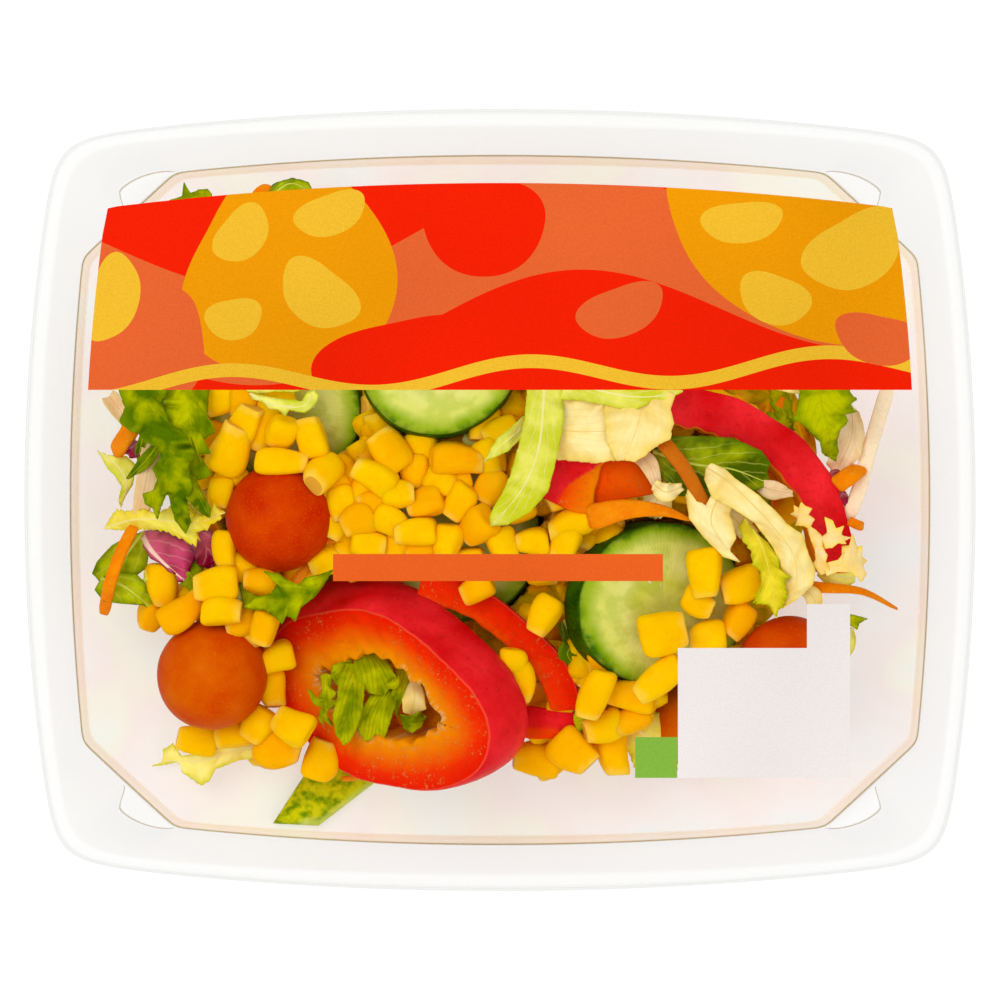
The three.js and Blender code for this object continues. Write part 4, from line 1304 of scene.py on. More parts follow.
# Green curly leaves: the large one at the left, those under the first tomato, in the pepper ring and at the
# right, and the tuft that shows past the printed band.
CURLY_ENDIVE = [
    # the large leaf: its right half, its left half with the long middle finger, and two more fingers
    ([(-77, 34, 43), (-77.5, 22, 46.5), (-79, 10, 46.5)],
     [(-73, 34), (-72.5, 27), (-73, 21), (-71.5, 18.5), (-71, 16.5), (-74, 15), (-72, 11.5), (-75, 11),
      (-74, 8.5), (-71.5, 6), (-76, 4.5)],
     [(-82, 34), (-84, 24), (-83, 15)],
     dict(rows=130, columns=21, ruffle=(1.7, 8), frill=0.03, shade=0.75, bare=1)),
    ([(-88, 34, 45), (-88, 25, 48.6), (-84.5, 14, 50), (-80.5, 3, 49.6), (-78.4, -8.4, 44)],
     [(-81.5, 34), (-82, 29), (-84, 24), (-82.5, 19.5), (-78, 16), (-75.5, 11.5), (-77.5, 8.5), (-76.5, 3),
      (-78, 0), (-77, -5.5)],
     [(-94, 34), (-95, 27), (-93.5, 23), (-95, 19.5), (-92, 17), (-90, 16.5), (-88.5, 14.5), (-85, 13),
      (-84.5, 10.5), (-86.5, 8), (-85, 4.5), (-84.5, 1), (-82.5, 1.5), (-82, -1.5), (-81, -5)],
     dict(rows=180, columns=23, ruffle=(1.8, 7), frill=0.03, shade=0.2, bare=1)),
    ([(-83, 5, 47.6), (-86.4, 1, 48), (-85.4, -4.8, 44)],
     [(-81, 4), (-83, 1.5), (-84.2, -1.4)],
     [(-85.5, 5), (-86.4, 2.2), (-89, 1.5), (-88.5, -1), (-86.6, -2)],
     dict(rows=70, ruffle=(0.9, 6), shade=0.5)),
    ([(-78.5, 7, 46), (-75.4, 1.5, 47), (-72.4, -4.4, 43)],
     [(-76, 6), (-74, 1.5), (-72, -2.4)],
     [(-80, 5), (-78, 0), (-74.5, -3.4)], dict(rows=70, ruffle=(0.9, 6), shade=0.3)),
    ([(-85.6, 13.4, 45), (-88.4, 9.8, 43), (-93.2, 5.4, 35)], [1.3, 1.7, 0.2],
     dict(ruffle=(0.3, 8), shade=0.2)),
    ([(-89, 16, 41), (-90, 12.4, 39), (-90.6, 9.8, 35)], [1, 1.1, 0.2], dict(ruffle=(0.3, 8), shade=0.2)),
    ([(-41.6, -17.4, 45), (-47, -22, 48), (-54, -24.6, 46), (-64.2, -26.7, 40)],
     [(-44.4, -21.8), (-46, -24), (-49.8, -27), (-51, -30.5), (-53.2, -28.8), (-54.4, -31), (-56.2, -29.2),
      (-59, -27.4), (-62, -27.4)],
     [(-45, -18.7), (-48.4, -19.2), (-50.6, -21.4), (-53.4, -19.8), (-55.6, -18.2), (-59, -17.6),
      (-55.4, -20.6), (-57, -23.2), (-61.2, -24.3)],
     dict(rows=130, columns=17, ruffle=(1.2, 7), shade=0.6, bare=1, pointed=True)),
    # a fan at the right
    ([(79, 33, 42), (80, 25, 46), (81.6, 18, 45), (83.9, 9.7, 37)],
     [(89, 33), (87.4, 27), (89.2, 25), (87.4, 23.8), (89.2, 22), (86.2, 21.4), (87.2, 19.8), (85, 17.6),
      (84.2, 15), (84.6, 12)],
     [(74, 33), (74.6, 27), (73.8, 23), (72.8, 20), (75.4, 18.6), (77.4, 16.6), (79.6, 14.6), (80.4, 11.6)],
     dict(rows=120, columns=19, ruffle=(1.2, 9), frill=0.06, shade=0.8)),
    # small leaves that show between other things
    ([(86, -30, 29), (89, -30.2, 30), (92.2, -29.8, 27)],
     [(86, -32), (88, -31.6), (89.6, -32.6), (90, -31)],
     [(86, -28.4), (89, -28.8)], dict(rows=50, ruffle=(0.3, 6), shade=1.0)),
    ([(-80, -13, 33), (-78, -18, 34), (-72, -25, 33)], [2, 3.6, 1], dict(teeth=(8, 0.2))),
    ([(22, -34, 28), (17, -38, 33), (19, -42, 32)], [1.6, 2.4, 0.6], dict(ruffle=(0.9, 6))),
    ([(-64, -20, 36), (-62, -24, 37), (-62, -30, 35)], [2, 3, 1], dict(teeth=(8, 0.2))),
    # past the far edge of the printed band
    ([(-84, 72, 27), (-80, 74.4, 30), (-76.4, 76, 31), (-72.4, 76.8, 28)],
     [(-86.6, 73.4), (-82.4, 75.4), (-79.6, 76.4), (-79.4, 80), (-78.4, 76.6), (-76, 77.8), (-73.6, 78.2)],
     [(-80, 70), (-75, 71), (-72.4, 73)], dict(rows=90, ruffle=(0.6, 6), frill=0.1, pointed=True)),
]


# Veined leaves in the hollow of the pepper ring, with an antler-like one at its left.
HOLLOW_LEAVES = [
    ([(-34, -37, 30), (-31, -42, 35), (-29, -49, 33)],
     [(-30, -37), (-27, -42), (-25.5, -45), (-27.5, -47)],
     [(-36, -38), (-37, -42), (-36, -46), (-32.5, -48.5)], dict(ruffle=(0.7, 9), cup=0.15, shade=0.35)),
    ([(-27, -46, 31), (-30, -52, 34.6), (-31.5, -60, 31)],
     [(-24.5, -47), (-26, -51), (-27.5, -56), (-28.8, -59.6)],
     [(-31, -46), (-34.5, -52), (-36.5, -56.5), (-34, -60.4)], dict(ruffle=(0.6, 9), shade=0.7)),
    ([(-36, -41, 33), (-37.5, -50, 37), (-39.2, -61.4, 34)],
     [(-33.6, -42), (-33.8, -47), (-34.2, -52.6), (-35.6, -56.8), (-37.4, -60.4)],
     [(-38.5, -41), (-40.6, -45), (-40.8, -49.5), (-42, -54), (-41.2, -58.6)],
     dict(ruffle=(0.5, 9), cup=0.1, shade=0.6)),
    ([(-37, -41, 31), (-40, -42, 33), (-42.4, -44, 32)],
     [(-36.6, -43), (-38.4, -45.4), (-41, -46.4)],
     [(-37.4, -39), (-40, -40.6), (-42, -41.4)], dict(rows=50, ruffle=(0.4, 6), shade=0.5)),
    ([(-24.6, -42, 30), (-24.6, -48, 33), (-26, -54.4, 30)],
     [(-22.6, -43.4), (-23.4, -48), (-25, -51.4)],
     [(-26.2, -42), (-26.6, -46), (-27.6, -49), (-26.6, -52)],
     dict(rows=60, ruffle=(0.5, 7), frill=0.1, shade=0.8)),
    ([(-28.6, -46.4, 35), (-26.4, -46, 36), (-25.4, -44, 35)], [0.4, 1.1, 0.2], dict(rows=20, shade=1.0)),
    ([(-25.4, -53.4, 31), (-22.4, -55.6, 34.4), (-18.4, -54.4, 33)],
     [(-24.6, -55.6), (-24, -57.4), (-22, -58.4), (-19.6, -56.8)],
     [(-25, -54), (-22.4, -54), (-20, -52.8)], dict(rows=60, ruffle=(0.8, 5), cup=0.25, shade=0.2)),
    ([(-43.6, -43.4, 32), (-43.4, -48, 34), (-44, -53, 32)],
     [(-42, -44), (-42.4, -47.4), (-40.6, -48.4), (-42.2, -50), (-41.8, -52)],
     [(-45, -44), (-44.6, -48), (-46, -50.4)], dict(rows=60, ruffle=(0.5, 5), shade=1.0)),
    ([(-43.6, -51, 33), (-46, -50.4, 34), (-47.8, -47.6, 32)], [0.9, 0.9, 0.2], dict(rows=24, shade=1.0)),
    ([(-43.8, -52, 32), (-44, -54, 33), (-42, -56.6, 31)], [0.9, 0.8, 0.2], dict(rows=24, shade=1.0)),
    ([(-43, -51, 33), (-41, -51, 34), (-39.4, -53, 33)], [0.8, 0.7, 0.2], dict(rows=24, shade=0.9)),
    ([(-44.6, -53, 31), (-45, -54.8, 31.6), (-44.4, -56, 30)], [0.5, 0.5, 0.1], dict(rows=24, shade=1.0)),
]


def fill_leaves(seed, count, size, low, high):
    """Small leaves that fill the gaps a little below the heap's top, off the places where other things
    lie."""
    rng = np.random.default_rng(seed)
    parts = []
    while len(parts) < count:
        east, north = rng.uniform(-100, 96), rng.uniform(-80, 30)
        if covered_height(east, north) < NOTHING_OVER or abs(heap_share(east, north)) > 0.84:
            continue
        turn = rng.uniform(0, TURN)
        step = np.array([math.cos(turn), math.sin(turn), -0.25]) * size * rng.uniform(0.7, 1.3)
        middle = np.array([east, north, heap_top(east, north) - rng.uniform(low, high)])
        if min(covered_height(*(middle + end * step)[:2]) for end in (-1, 1)) < NOTHING_OVER:
            continue
        half = size * rng.uniform(0.4, 0.7)
        spine = [middle - step, middle + (0, 0, 2), middle + step]
        parts.append(blade(rng, spine, [half * 0.6, half, half * 0.3], rows=30, columns=11, teeth=(7, 0.25),
                           ruffle=(1.0, 7), cup=0.2))
    return parts


# Pale yellow-green lettuce: the long ribbon, the strand beside it, and leaves at the heap's edges.
SOFT_LETTUCE = [
    ([(11, 34, 49), (10.8, 24, 53), (9.4, 12, 54), (5, 2, 52.6), (-2.2, -6.4, 49)],
     [(17, 34), (15.6, 27), (16, 20), (15, 14), (13.6, 8), (12, 2), (7.6, -3), (2, -6.2)],
     [(5, 34), (6.6, 27), (6, 20), (4.4, 13), (2.4, 6), (0.6, 2), (-1.4, -1.4), (-2.6, -4)],
     dict(rows=150, columns=21, ruffle=(1.0, 13), frill=0.03, teeth=4)),
    ([(5.6, 18, 50), (1.6, 14.6, 52), (-3.8, 9.6, 49)],
     [(6, 21), (2.6, 18), (-0.6, 15.6), (-2.4, 12.8)],
     [(5, 15), (2, 12), (-1.2, 10.6)], dict(rows=70, ruffle=(0.6, 8))),
    ([(10, 32, 50), (24, 27.4, 53), (35, 25.6, 53), (45.4, 27, 50)],
     [(12, 25), (20, 24.6), (26, 23.6), (32.6, 21.8), (37, 24), (40.6, 24.2)],
     [(14, 34), (24, 33), (36, 33), (44, 31)], dict(rows=110, columns=19, ruffle=(0.9, 11))),
    ([(-101.2, 12.4, 25), (-95.8, 8.4, 31), (-93.6, 4, 32), (-95.2, -1.8, 27)],
     [(-98.2, 11.2), (-93.4, 11), (-91, 8.6), (-92, 4), (-94, 1)],
     [(-100, 10.6), (-98.6, 8), (-96.6, 6), (-94.8, 3.4), (-95.8, 0)],
     dict(rows=80, ruffle=(0.5, 8), pointed=True)),
    ([(-62, -27, 34), (-66, -25, 36), (-60, -23, 36)], [2, 3, 1], dict(ruffle=(0.8, 8))),
    ([(88.4, -32, 22), (87.8, -36, 24), (86.6, -41, 20)], [0.6, 1.6, 0.3], dict(ruffle=(0.4, 8))),
    ([(80, -17, 34), (84, -19, 36), (89, -19.6, 31)], [2, 3, 1], dict(ruffle=(0.5, 8))),
    ([(-88.2, -17.4, 31), (-87.4, -20, 33), (-90, -21, 30)], [1, 1.6, 0.5], dict(ruffle=(0.3, 8))),
    # the curled leaf under the printed band: its body and its toothed lip
    ([(-64, 28.6, 45), (-56, 28.4, 47), (-45, 29.4, 45)],
     [(-63, 27), (-60, 26.4), (-56, 27), (-51, 26.8), (-47.6, 28)],
     [(-64, 32), (-54, 33), (-45, 32)], dict(rows=70, ruffle=(0.7, 7))),
    ([(-62.4, 26.6, 47), (-56.6, 23.8, 48.6), (-49, 23.4, 48.6), (-46.4, 27.4, 47)],
     [(-61.6, 25), (-59, 24.4), (-57.4, 22.6), (-55, 22.4), (-53.4, 20.8), (-52.6, 22.4), (-48.6, 21.6),
      (-45.8, 23.6), (-45, 26)],
     [(-59, 26), (-55.4, 25.4), (-52, 25), (-49.4, 24.6), (-48.4, 26.6)],
     dict(rows=110, columns=13, ruffle=(0.8, 5), frill=0.1, pointed=True)),
]


# Pale yellow leaves at the heap's lower corners.
PALE_LETTUCE = [
    ([(-60.6, -62, 15), (-68, -63.4, 13), (-76, -66, 9), (-83.6, -66, 5), (-88.2, -67.4, 3)],
     [(-60.4, -65), (-66.6, -66), (-72, -68.2), (-73.6, -71.4), (-75.6, -72.4), (-80.4, -69), (-78.4, -67.2),
      (-81.2, -66.2), (-84.6, -67)],
     [(-62, -58), (-71.6, -62.6), (-78, -64.2), (-80.8, -64.8), (-82.8, -61.4), (-85.4, -63.2),
      (-84.8, -66.4)], dict(rows=150, columns=17, ruffle=(0.8, 8), frill=0.08)),
    ([(30, -54, 20), (36, -59, 22), (41, -64, 18), (45, -68, 12)],
     [(34, -51), (44, -55), (46, -61), (46, -66)],
     [(30, -58), (32.4, -64), (33.6, -67.4), (38, -67), (41, -68.6)],
     dict(rows=90, columns=17, ruffle=(0.9, 8), frill=0.06)),
]


# Yellow frisée with toothed and curled margins.
YELLOW_FRISEE = [
    ([(-99.4, -7.2, 25), (-92, -5, 34), (-84, -5, 40), (-77, -6, 42), (-68.6, -3.2, 41)],
     [(-97.8, -4), (-96.2, -2), (-94, -2.6), (-89, -2), (-86.6, -3), (-84, -2.4), (-82.4, -1.4),
      (-77.8, -0.4), (-77.2, -2.6), (-73.8, -3.8), (-71.8, -2.4), (-71.2, -0.2), (-70.4, -1.8)],
     [(-94, -7.8), (-86.6, -7.6), (-83, -8.2), (-80, -9.8), (-77.8, -10.8), (-76.2, -12.2), (-74.6, -10.6),
      (-75.4, -8), (-72.8, -7.6), (-71.6, -6), (-69.2, -4.8), (-70, -3.4)],
     dict(rows=200, columns=17, ruffle=(0.8, 7), frill=0.2, teeth=1.7, pointed=True)),
]
FRONDS = [
    # spine, count and length of the lobes, half width
    ([(8.6, -9, 40), (8, -13, 41), (11.6, -18, 39)], 8, 3.0, 0.9),
    ([(54, -34, 30), (50, -28, 33), (54, -24, 32)], 8, 3.4, 1.0),
]


# Pale frisée with antler-like lobes, at the right: a hand, a stem, a branch, and a broad toothed foot.
# They share these values.
ANTLER = dict(rows=90, columns=13, ruffle=(0.5, 5), frill=0.04, pointed=True)
SPIKY_FRISEE = [
    ([(72.5, -3.5, 46), (75, -3.8, 47.4), (77.8, -5.5, 47)],
     [(74, -4.4), (74.6, -5.6), (73.6, -6.4), (75.6, -6.6), (77.2, -7.2)],
     [(73.8, -2.6), (73.2, -1.2), (74.5, -2), (75, -0.4), (76, -1.4), (77.8, -2), (76.6, -3.5), (78.4, -4.8)],
     ANTLER),
    ([(76.4, -6, 46.6), (79, -11, 47.8), (80, -18.6, 45.4)],
     [(78.6, -7.4), (80.2, -9), (80.4, -11.8), (81.6, -13.8), (81.2, -15.6), (82.4, -18)],
     [(77.2, -9.6), (78.4, -12.6), (78.6, -15), (77.8, -16), (79, -17.5)],
     ANTLER),
    ([(79.8, -9.6, 47.4), (83, -9.2, 48.6), (87.4, -9.4, 46.4)],
     [(81, -12.2), (82.6, -12), (84.2, -10.8), (86.2, -11), (85.6, -10.2)],
     [(82, -7.8), (82.2, -6.4), (80.8, -4.2), (82.8, -5), (83.6, -7), (85.6, -6.4), (84, -8), (85.2, -9)],
     ANTLER),
    ([(80.8, -17.2, 46), (85, -16.6, 46.8), (88.5, -15.4, 44.6), (91.6, -15.2, 40)],
     [(81.4, -19), (84, -18), (87, -18), (89, -19.2), (90.2, -20.6), (91.4, -18.6), (90.4, -16.6)],
     [(81.4, -15.6), (84.4, -14.8), (85.8, -12.8), (85.2, -11.4), (87, -11.2), (87.8, -8.2), (89, -11.6),
      (90.4, -11.2), (90, -14)], ANTLER),
]


# Lime-green frisée: the narrow leaf beside the folded endive.
LIME_FRISEE = [
    ([(61, -4.6, 47), (64.6, -10, 49.6), (67, -18, 50), (68.9, -29.4, 45)],
     [(63, -8), (67, -11), (69.4, -14.6), (69.8, -17.6), (72.6, -19.2), (71, -20.6), (71.8, -24),
      (70.8, -26.6), (69.2, -27.6)],
     [(59.2, -6.6), (60.4, -10.6), (62.2, -12.8), (62.6, -16), (64.8, -18.6), (65, -22.6), (63.2, -24.2),
      (62.8, -26), (66.8, -26.2)],
     dict(rows=150, columns=15, ruffle=(0.9, 6), frill=0.14, teeth=1.8, pointed=True)),
]


# Purple radicchio with fat white ribs.
RADICCHIO = [
    ([(-90.4, -8, 25), (-87.8, -12.2, 31), (-84, -16, 34), (-79, -20.2, 34)],
     [(-86.6, -7.4), (-80, -7.6), (-75.4, -9), (-75.6, -13), (-77.4, -17), (-77.4, -19)],
     [(-90, -10.8), (-87.6, -14.6), (-85, -16), (-83.4, -17.8), (-81, -18.6), (-80.6, -20.6)],
     dict(rows=90, columns=19, ruffle=(1.0, 7), frill=0.03, cup=0.1, shade=0.9, pointed=True)),
    ([(-77, -7.6, 36), (-73.6, -11.6, 37), (-72, -17.6, 34.6)],
     [(-77, -7.6), (-73, -7), (-71.4, -8.4), (-69.6, -12), (-70, -14.6), (-71.4, -15.4)],
     [(-78, -7.6), (-78, -11.4), (-76.4, -13), (-76, -16)],
     dict(rows=80, columns=15, ruffle=(1.1, 6), frill=0.04, cup=0.1, shade=0.1, bare=1)),
    ([(-90.6, 14.8, 37), (-91.4, 12.4, 38), (-93, 11.4, 35)], [1, 1.7, 0.5], dict(shade=0, bare=1)),
    ([(82.6, 6.6, 36), (83.8, 6.4, 37), (85, 6, 36)], [0.8, 1.3, 0.6], dict(shade=0, bare=1)),
    ([(85.4, 2.6, 36), (86, 1, 37), (86.6, -1, 35)], [0.6, 1.0, 0.4], dict(shade=0, bare=1)),
    ([(40, 60, 38), (52, 64, 40), (60, 60, 36)], [3, 7, 2], dict(ruffle=(1.5, 9), cup=0.4)),
]


# Smooth deep green leaves with light veins.
SPINACH = [
    ([(-89.6, -8, 27), (-94, -14, 30), (-100, -21, 27)],
     [(-88, -13), (-88.6, -17), (-93, -20.4)],
     [(-94, -9.6), (-97.4, -11.4), (-101.2, -15.6), (-102.4, -18.4)],
     dict(rows=90, columns=21, ruffle=(0.6, 10), frill=0.0, shade=0.9, pointed=True)),
    ([(-100, -19.6, 30), (-93.6, -22, 32), (-84.8, -29.6, 26)],
     [(-101.6, -22.6), (-99.4, -25.4), (-95, -26), (-89.4, -26.4)],
     [(-96, -17.8), (-91, -18.6), (-88.2, -21.6), (-86.6, -25)],
     dict(rows=90, columns=21, ruffle=(0.6, 7), frill=0.0, shade=1.0, pointed=True)),
    ([(38, 12, 43), (48, 9, 46), (58, 7.6, 46), (67.4, 4, 42)],
     [(40, 6), (44, 1), (54, 0), (60, 1.4), (64, 2.4)],
     [(40, 16), (51, 16), (58.4, 15.4), (65.4, 12.2), (67.4, 9.4), (66.6, 7)],
     dict(rows=90, columns=19, ruffle=(1.0, 9), frill=0.02, shade=0.0)),
    ([(-62, 73, 28), (-57, 76.6, 32), (-52, 79.4, 32), (-46, 76, 28)],
     [(-60, 76), (-56.6, 79.4), (-52, 80.8), (-48, 79.8)],
     [(-60, 70), (-54, 72), (-48, 74)], dict(rows=60, ruffle=(0.4, 9), cup=-0.2)),
    ([(16, -30, 30), (21, -40, 31), (26, -44, 29)], [2, 3.4, 1], dict(ruffle=(0.7, 8))),
    ([(30, 66, 36), (44, 60, 40), (56, 64, 37)], [3, 8, 1], dict(ruffle=(1.3, 9))),
]


# Cream endive and lettuce hearts: folded, ribbed sheets and stalks.
CREAM_ENDIVE = [
    ([(51.4, 8.2, 49), (58, 3.4, 54), (66, -4.6, 54), (72.6, -13, 52), (73.6, -21, 49), (70.4, -27, 45)],
     [(50.8, 5), (52.6, 0.6), (57.6, -2), (63.2, -5.6), (67.8, -11.6), (69.4, -15), (71, -20), (70.8, -23.4)],
     [(52.6, 9.2), (56.2, 7.6), (58.4, 5.4), (63.8, 1.6), (68.4, -2.6), (71.4, -6), (75.4, -8.6),
      (76.8, -13.6), (78.6, -17.4), (78, -21), (74.4, -24.4)],
     dict(rows=120, columns=21, ruffle=(1.1, 16), frill=0.02, teeth=5, cup=-0.22, pointed=True)),
    ([(54.4, 1, 51), (52.4, -5, 52), (55, -10, 51), (59.7, -15.4, 47)],
     [(58, -1), (57.2, -3.4), (58.2, -6.6), (58.8, -9.6), (57.2, -12.2), (57.6, -13.8)],
     [(52.4, 1), (51, -1.6), (49.4, -2), (48.4, 0.6), (46.6, 3), (46.2, 1), (47, -4.6), (50.6, -9.2),
      (53.6, -12.2), (55.6, -14.2)], dict(rows=100, columns=17, ruffle=(0.9, 12), frill=0.02, cup=-0.15)),
    # the sheet: two leaves that overlap, the right one with a ragged edge
    ([(10, 18, 49.6), (20, 17, 51.6), (30, 17.4, 51.6)],
     [(12, 10), (16, 9.8), (24, 9), (30, 10), (31, 14)],
     [(12, 25), (22, 27), (30, 25)], dict(rows=90, columns=21, ruffle=(0.9, 12), frill=0.03, shade=0.7)),
    ([(36, 30, 50.6), (34.6, 20, 53.4), (31, 10, 51)],
     [(43.6, 26), (42.6, 22), (43.4, 19.4), (42.4, 15), (38.6, 13), (36, 10.8), (33.4, 9.4)],
     [(28, 30), (25.4, 22), (26.4, 14), (29, 9.6)],
     dict(rows=90, columns=21, ruffle=(0.9, 9), frill=0.04, teeth=3, cup=0.06, shade=0.2)),
    ([(-22.2, -44.6, 31), (-21.4, -49, 34), (-22, -54, 31)],
     [(-20.6, -44.6), (-19, -48), (-18.4, -52.4)],
     [(-22.6, -45), (-24.6, -50), (-24.4, -53.2)], dict(rows=50, ruffle=(0.4, 7))),
    ([(38.2, 4, 47.6), (41.2, 2, 49.6), (45.2, 3.2, 47.6)], [1.4, 2.4, 0.8], dict(ruffle=(0.6, 4))),
    ([(75.4, -22, 40), (78, -24, 41), (80, -28.6, 36)], [1.2, 2.2, 0.3], dict(ruffle=(0.4, 8))),
    ([(55, 36, 42), (68, 32, 44), (78, 28, 42)], [3, 4, 2], dict(ruffle=(0.9, 9))),
    ([(4, 62, 38), (20, 66, 40), (34, 62, 37)], [4, 8, 3], dict(ruffle=(1.4, 9), teeth=(12, 0.15))),
]


# Pinkish stalks and a thin sheet at the heap's sides.
BLUSH_ENDIVE = [
    ([(88, 24, 31), (88, 16, 35), (84, 6.4, 33)],
     [(90, 22), (91, 19), (91.4, 15.6), (90.2, 10.6), (86, 7)],
     [(84, 24), (84, 16), (81.6, 9)], dict(rows=60, ruffle=(0.7, 9), cup=0.1)),
    ([(-86, 17, 41), (-88, 7, 40), (-90.4, -3.6, 35)],
     [(-82.6, 14), (-84, 7), (-86.6, 0), (-87.8, -3.6)],
     [(-89, 17), (-90.6, 7), (-91.6, 1), (-92, -3.4)], dict(rows=60, ruffle=(0.25, 12), cup=-0.3)),
    ([(-98, 26, 30), (-96, 23.6, 33), (-92.6, 19, 34)], [1.6, 2.2, 1.6], dict(ruffle=(0.2, 9), cup=0.9)),
    ([(33.4, 12, 45), (37, 9, 47), (39.4, 3, 45.6)], [2, 2.2, 1], dict(ruffle=(0.4, 9))),
    ([(64, 4, 42), (67.6, 2.6, 43.6), (73, 1.6, 41)], [1.4, 2.4, 0.6], dict(ruffle=(0.5, 8))),
]


LEAF_KINDS = {
    # name: (seed and rows, tones, values of the material)
    "curly_endive": ((60, CURLY_ENDIVE, (), (81, 12, 6, 2, 6)),
                     ((80, 112, 0), (188, 190, 0), (180, 186, 4), (114, 136, 0)),
                     dict(Rib_Width=0.2, Foot=0.05, Veins=0.1, raised=0.5)),
    "hollow_leaves": ((68, HOLLOW_LEAVES), ((112, 128, 0), (190, 190, 4), (92, 110, 0), (156, 164, 0)),
                      dict(Rib_Width=0.01, Foot=0.0, Veins=0.3, Vein_Spacing=1.7, Sideways=0.25, raised=0.5)),
    "soft_lettuce": ((61, SOFT_LETTUCE, (), (82, 9, 6, 2, 6)),
                     ((208, 210, 40), (246, 238, 110), (240, 232, 150), (200, 206, 20)),
                     dict(Veins=0.4, Vein_Spacing=2.6, Sideways=0.25)),
    "yellow_frisee": ((62, YELLOW_FRISEE, FRONDS),
                      ((240, 206, 24), (252, 236, 90), (250, 232, 130), (226, 204, 10)), dict(Veins=0.12)),
    "spiky_frisee": ((69, SPIKY_FRISEE), ((255, 212, 96), (255, 226, 160), (255, 222, 150), (255, 218, 84)),
                     dict(Rib_Width=0.2, Veins=0.1, raised=0.2)),
    "pale_lettuce": ((67, PALE_LETTUCE), ((240, 220, 60), (254, 240, 130), (252, 236, 150), (220, 210, 30)),
                     dict(Veins=0.3, Vein_Spacing=3.6)),
    "lime_frisee": ((66, LIME_FRISEE), ((204, 186, 4), (246, 222, 44), (242, 222, 80), (190, 192, 0)),
                    dict(Veins=0.2, Foot=0.2)),
    "radicchio": ((63, RADICCHIO), ((140, 10, 50), (206, 70, 112), (250, 214, 196), (112, 4, 36)),
                  dict(Rib_Width=1.0, Veins=0.14, Vein_Spacing=5.0, Foot=0.15, raised=0.2)),
    "spinach": ((64, SPINACH), ((74, 96, 0), (180, 192, 6), (206, 214, 84), (92, 118, 0)),
                dict(Rib_Width=0.5, Veins=0.35, Vein_Spacing=4.0, Foot=0.05, Sideways=0.5, raised=0.5)),
    "cream_endive": ((65, CREAM_ENDIVE, (), (83, 7, 7, 2, 5)),
                     ((250, 216, 120), (255, 238, 168), (242, 208, 120), (248, 216, 104)),
                     dict(Rib_Width=0.3, Veins=0.25, Vein_Spacing=2.6, Sideways=0.25, raised=0.12)),
    "blush_endive": ((71, BLUSH_ENDIVE), ((238, 196, 140), (252, 222, 176), (226, 176, 120), (240, 206, 140)),
                     dict(Rib_Width=0.2, Veins=0.3, Vein_Spacing=2.0, Sideways=0.1, raised=0.1)),
}


def build_leaves():
    for name, (leaves, tones, values) in LEAF_KINDS.items():
        material = leaf_material(name + "_leaf", tones, **values)
        slot = "radicchio" if name == "radicchio" else "salad_leaves"
        build_piece(name, grown(*leaves), material, thickness=0.3)


# ---------------------------------------------------------------- carrot

def shred(rng, path, width, thick, pale=0, tip=1.0):
    """A shred of carrot: a softly squared section carried along a curve and turned slowly about it. pale is 1
    for a shred from the carrot's light core and below 0 for a glassy dark one, and tip is its far end's share
    of the width."""
    count = 8 * len(path)
    spine = curve_through(path, count)
    ahead = unit(np.gradient(spine, axis=0))
    aside = unit(np.cross((0, 0, 1), ahead))
    up = np.cross(ahead, aside)
    half = [(1, 0.55), (0.7, 1), (-0.7, 1), (-1, 0.55)]
    corners = np.array(half + [(-x, -y) for x, y in half])
    from_end = np.minimum(np.linspace(0, 1, count), np.linspace(1, 0, count))
    taper = (0.7 + 0.3 * smoothed(0, 0.1, from_end + 0.02)) * np.linspace(1, tip, count)
    twist = rng.uniform(-0.6, 0.6) * np.linspace(-1, 1, count) + rng.uniform(-0.3, 0.3)
    across = corners[None, :, 0] * width / 2 * taper[:, None]
    tall = corners[None, :, 1] * thick / 2 * taper[:, None]
    sideways = across * np.cos(twist)[:, None] - tall * np.sin(twist)[:, None]
    upwards = across * np.sin(twist)[:, None] + tall * np.cos(twist)[:, None]
    points = spine[:, None] + aside[:, None] * sideways[..., None] + up[:, None] * upwards[..., None]
    return lofted(points, shade=rng.uniform(0, 1), pale=pale)


CARROT_SHREDS = [
    # path, width, thickness, 1 for a pale one, and the far end's share of the width
    ([(-91.6, -6.6, 35), (-95, -13.6, 37), (-97.6, -21, 36), (-99.4, -28.4, 27)], 3, 1.6),
    ([(-91.6, 19.6, 36), (-93.6, 15.6, 36), (-96.4, 12, 32)], 4.6, 2.4),
    ([(39.6, 15.6, 49), (46, 7.4, 52), (51.6, -2.6, 49)], 3.8, 2, -0.6, 0.9),
    ([(22, -4.6, 46), (31, -2.4, 49.6), (40, -2.6, 50), (47.6, -5, 48)], 7, 2, 0, 0.15),
    ([(74, -21.6, 38), (82, -22, 39), (91, -23, 33), (100, -27.4, 21)], 3.4, 0.9, 0, 0.3),
    ([(97.6, 29, 27), (94.4, 18.6, 31), (92, 11, 34), (89.8, 2.4, 35), (86.6, -5, 34)], 3.8, 1.2, 1),
    ([(84, 3.6, 38), (87, 5.8, 39), (90.2, 8, 35)], 4.6, 1.8, 0),
    ([(87.2, -5.2, 36), (89, -6, 36), (90.6, -6.6, 33)], 2.4, 1.6),
    ([(-61.6, 76, 29), (-59, 78, 30), (-56, 76.6, 29)], 2.4, 1.8),
    ([(-44, -66.4, 16), (-40.4, -65.4, 18), (-36.6, -66.6, 17), (-36.4, -69.8, 15), (-40, -70.4, 14)],
     1.3, 1.2),
]


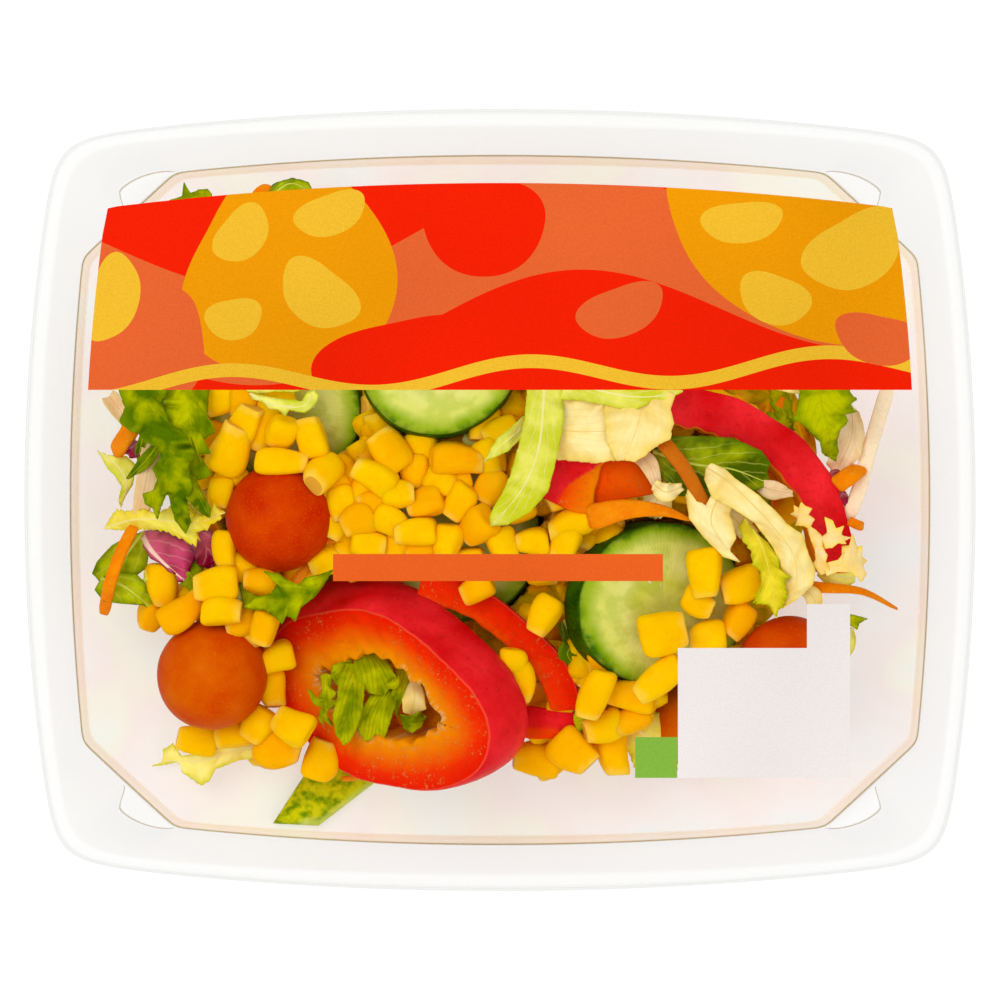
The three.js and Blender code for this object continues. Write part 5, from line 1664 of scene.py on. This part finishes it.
def carrot_material():
    """Orange flesh, mottled and specked, some shreds a little paler at random; a shred from the light core is
    paler still and a glassy one darker.
    """
    material = new_material("carrot")
    flesh, specks = mottled([(236, 116, 0), (250, 146, 4), (252, 176, 50)], 5.0, 0.9, 0.5)
    pale = field("pale")
    base = blended(remapped(field("shade"), 0.3, 1.0, 0.0, 0.3), flesh, (252, 176, 70))
    base = blended(remapped(pale, 0.0, -1.0), base, (168, 70, 0))
    base = blended(remapped(pale, 0.0, 1.0), base, (255, 230, 192))
    return finish_material(material, base, 0.4, 0.02, (255, 220, 150), (specks, 0.1), Subsurface_Weight=0.1,
                           Subsurface_Scale=0.003)


def build_carrot():
    rng = np.random.default_rng(70)
    patches = [shred(rng, *values) for values in CARROT_SHREDS]
    for east, north in scattered_places(rng, [(-10, 40, 80, 30, 22), (10, -10, 80, 50, 20)]):
        if covered_height(east, north) < NOTHING_OVER or abs(heap_share(east, north)) > 0.85:
            continue
        turn, reach = rng.uniform(0, TURN), rng.uniform(7, 15)
        up = heap_top(east, north) - rng.uniform(3, 7)
        step = np.array([math.cos(turn), math.sin(turn), 0]) * reach
        bow = np.array([-step[1], step[0], 4]) * rng.uniform(-0.25, 0.25)
        middle = np.array([east, north, up])
        patches.append(shred(rng, [middle - step, middle + bow, middle + step], rng.uniform(2, 3), 1.8))
    build_piece("carrot_shreds", patches, carrot_material())


# ---------------------------------------------------------------- floor, light and camera

VIEW_WIDTH = 248  # millimetres across the picture at the height of the rim
CAMERA_HEIGHT = 2500  # above the rim
SENSOR_WIDTH = 36
TABLE_REACH = 4.0  # metres
TABLE_TOP = -0.0003  # metres, just clear of the pack


def glow(seen, mirrored):
    """A strength of light, one for what is seen or lit and another for what shines in reflections."""
    return remapped(output("ShaderNodeLightPath", {}, "Is Glossy Ray"), 0.0, 1.0, seen, mirrored)


def build_floor():
    """A pale table that glows faintly, so that the pack stands before clean white."""
    material = new_material("pale_table")
    finish_material(material, (128, 128, 128), 0.9, 0.0, Emission_Color=(255, 255, 255),
                    Emission_Strength=glow(0.82, 0.1))
    mesh = bpy.data.meshes.new("table")
    corners = [(x * TABLE_REACH, y * TABLE_REACH, TABLE_TOP) for x, y in ((-1, -1), (1, -1), (1, 1), (-1, 1))]
    mesh.from_pydata(corners, [], [(0, 1, 2, 3)])
    mesh.materials.append(material)
    table = add_object("table", mesh)


def add_softbox(name, place, size, power):
    """A square lamp at a place in metres that faces the pack."""
    lamp = bpy.data.lights.new(name, "AREA")
    lamp.size = size
    lamp.energy = power
    softbox = add_object(name, lamp)
    softbox.location = place
    softbox.rotation_euler = (-softbox.location).to_track_quat("-Z", "Y").to_euler()


def build_light():
    """Even pale light from all round, and two lamps."""
    world = bpy.data.worlds.new("studio")
    world.use_nodes = True
    Value.tree = world.node_tree
    background = world.node_tree.nodes["Background"].inputs
    join(glow(0.62, 0.08), background["Strength"])
    join((255, 255, 255), background["Color"])
    bpy.context.scene.world = world
    add_softbox("key", (-0.55, 0.35, 1.5), 0.9, 9)
    add_softbox("fill", (0.5, -0.6, 1.4), 1.2, 5)


def build_camera():
    """Straight down on the middle of the pack."""
    data = bpy.data.cameras.new("camera")
    data.sensor_width = SENSOR_WIDTH
    data.lens = SENSOR_WIDTH * CAMERA_HEIGHT / VIEW_WIDTH
    data.clip_end = 20
    camera = add_object("camera", data)
    camera.location = (0, 0, (FLANGE_TOP + CAMERA_HEIGHT) * MM)
    bpy.context.scene.camera = camera
    bpy.context.scene.view_settings.view_transform = "Standard"


# ---------------------------------------------------------------- assembly

build_floor()
build_light()
build_camera()
build_tub()
build_film()
finish_prints()
build_tomatoes()
build_peppers()
build_cucumbers()
build_core()
build_sweetcorn()
build_leaves()
build_carrot()
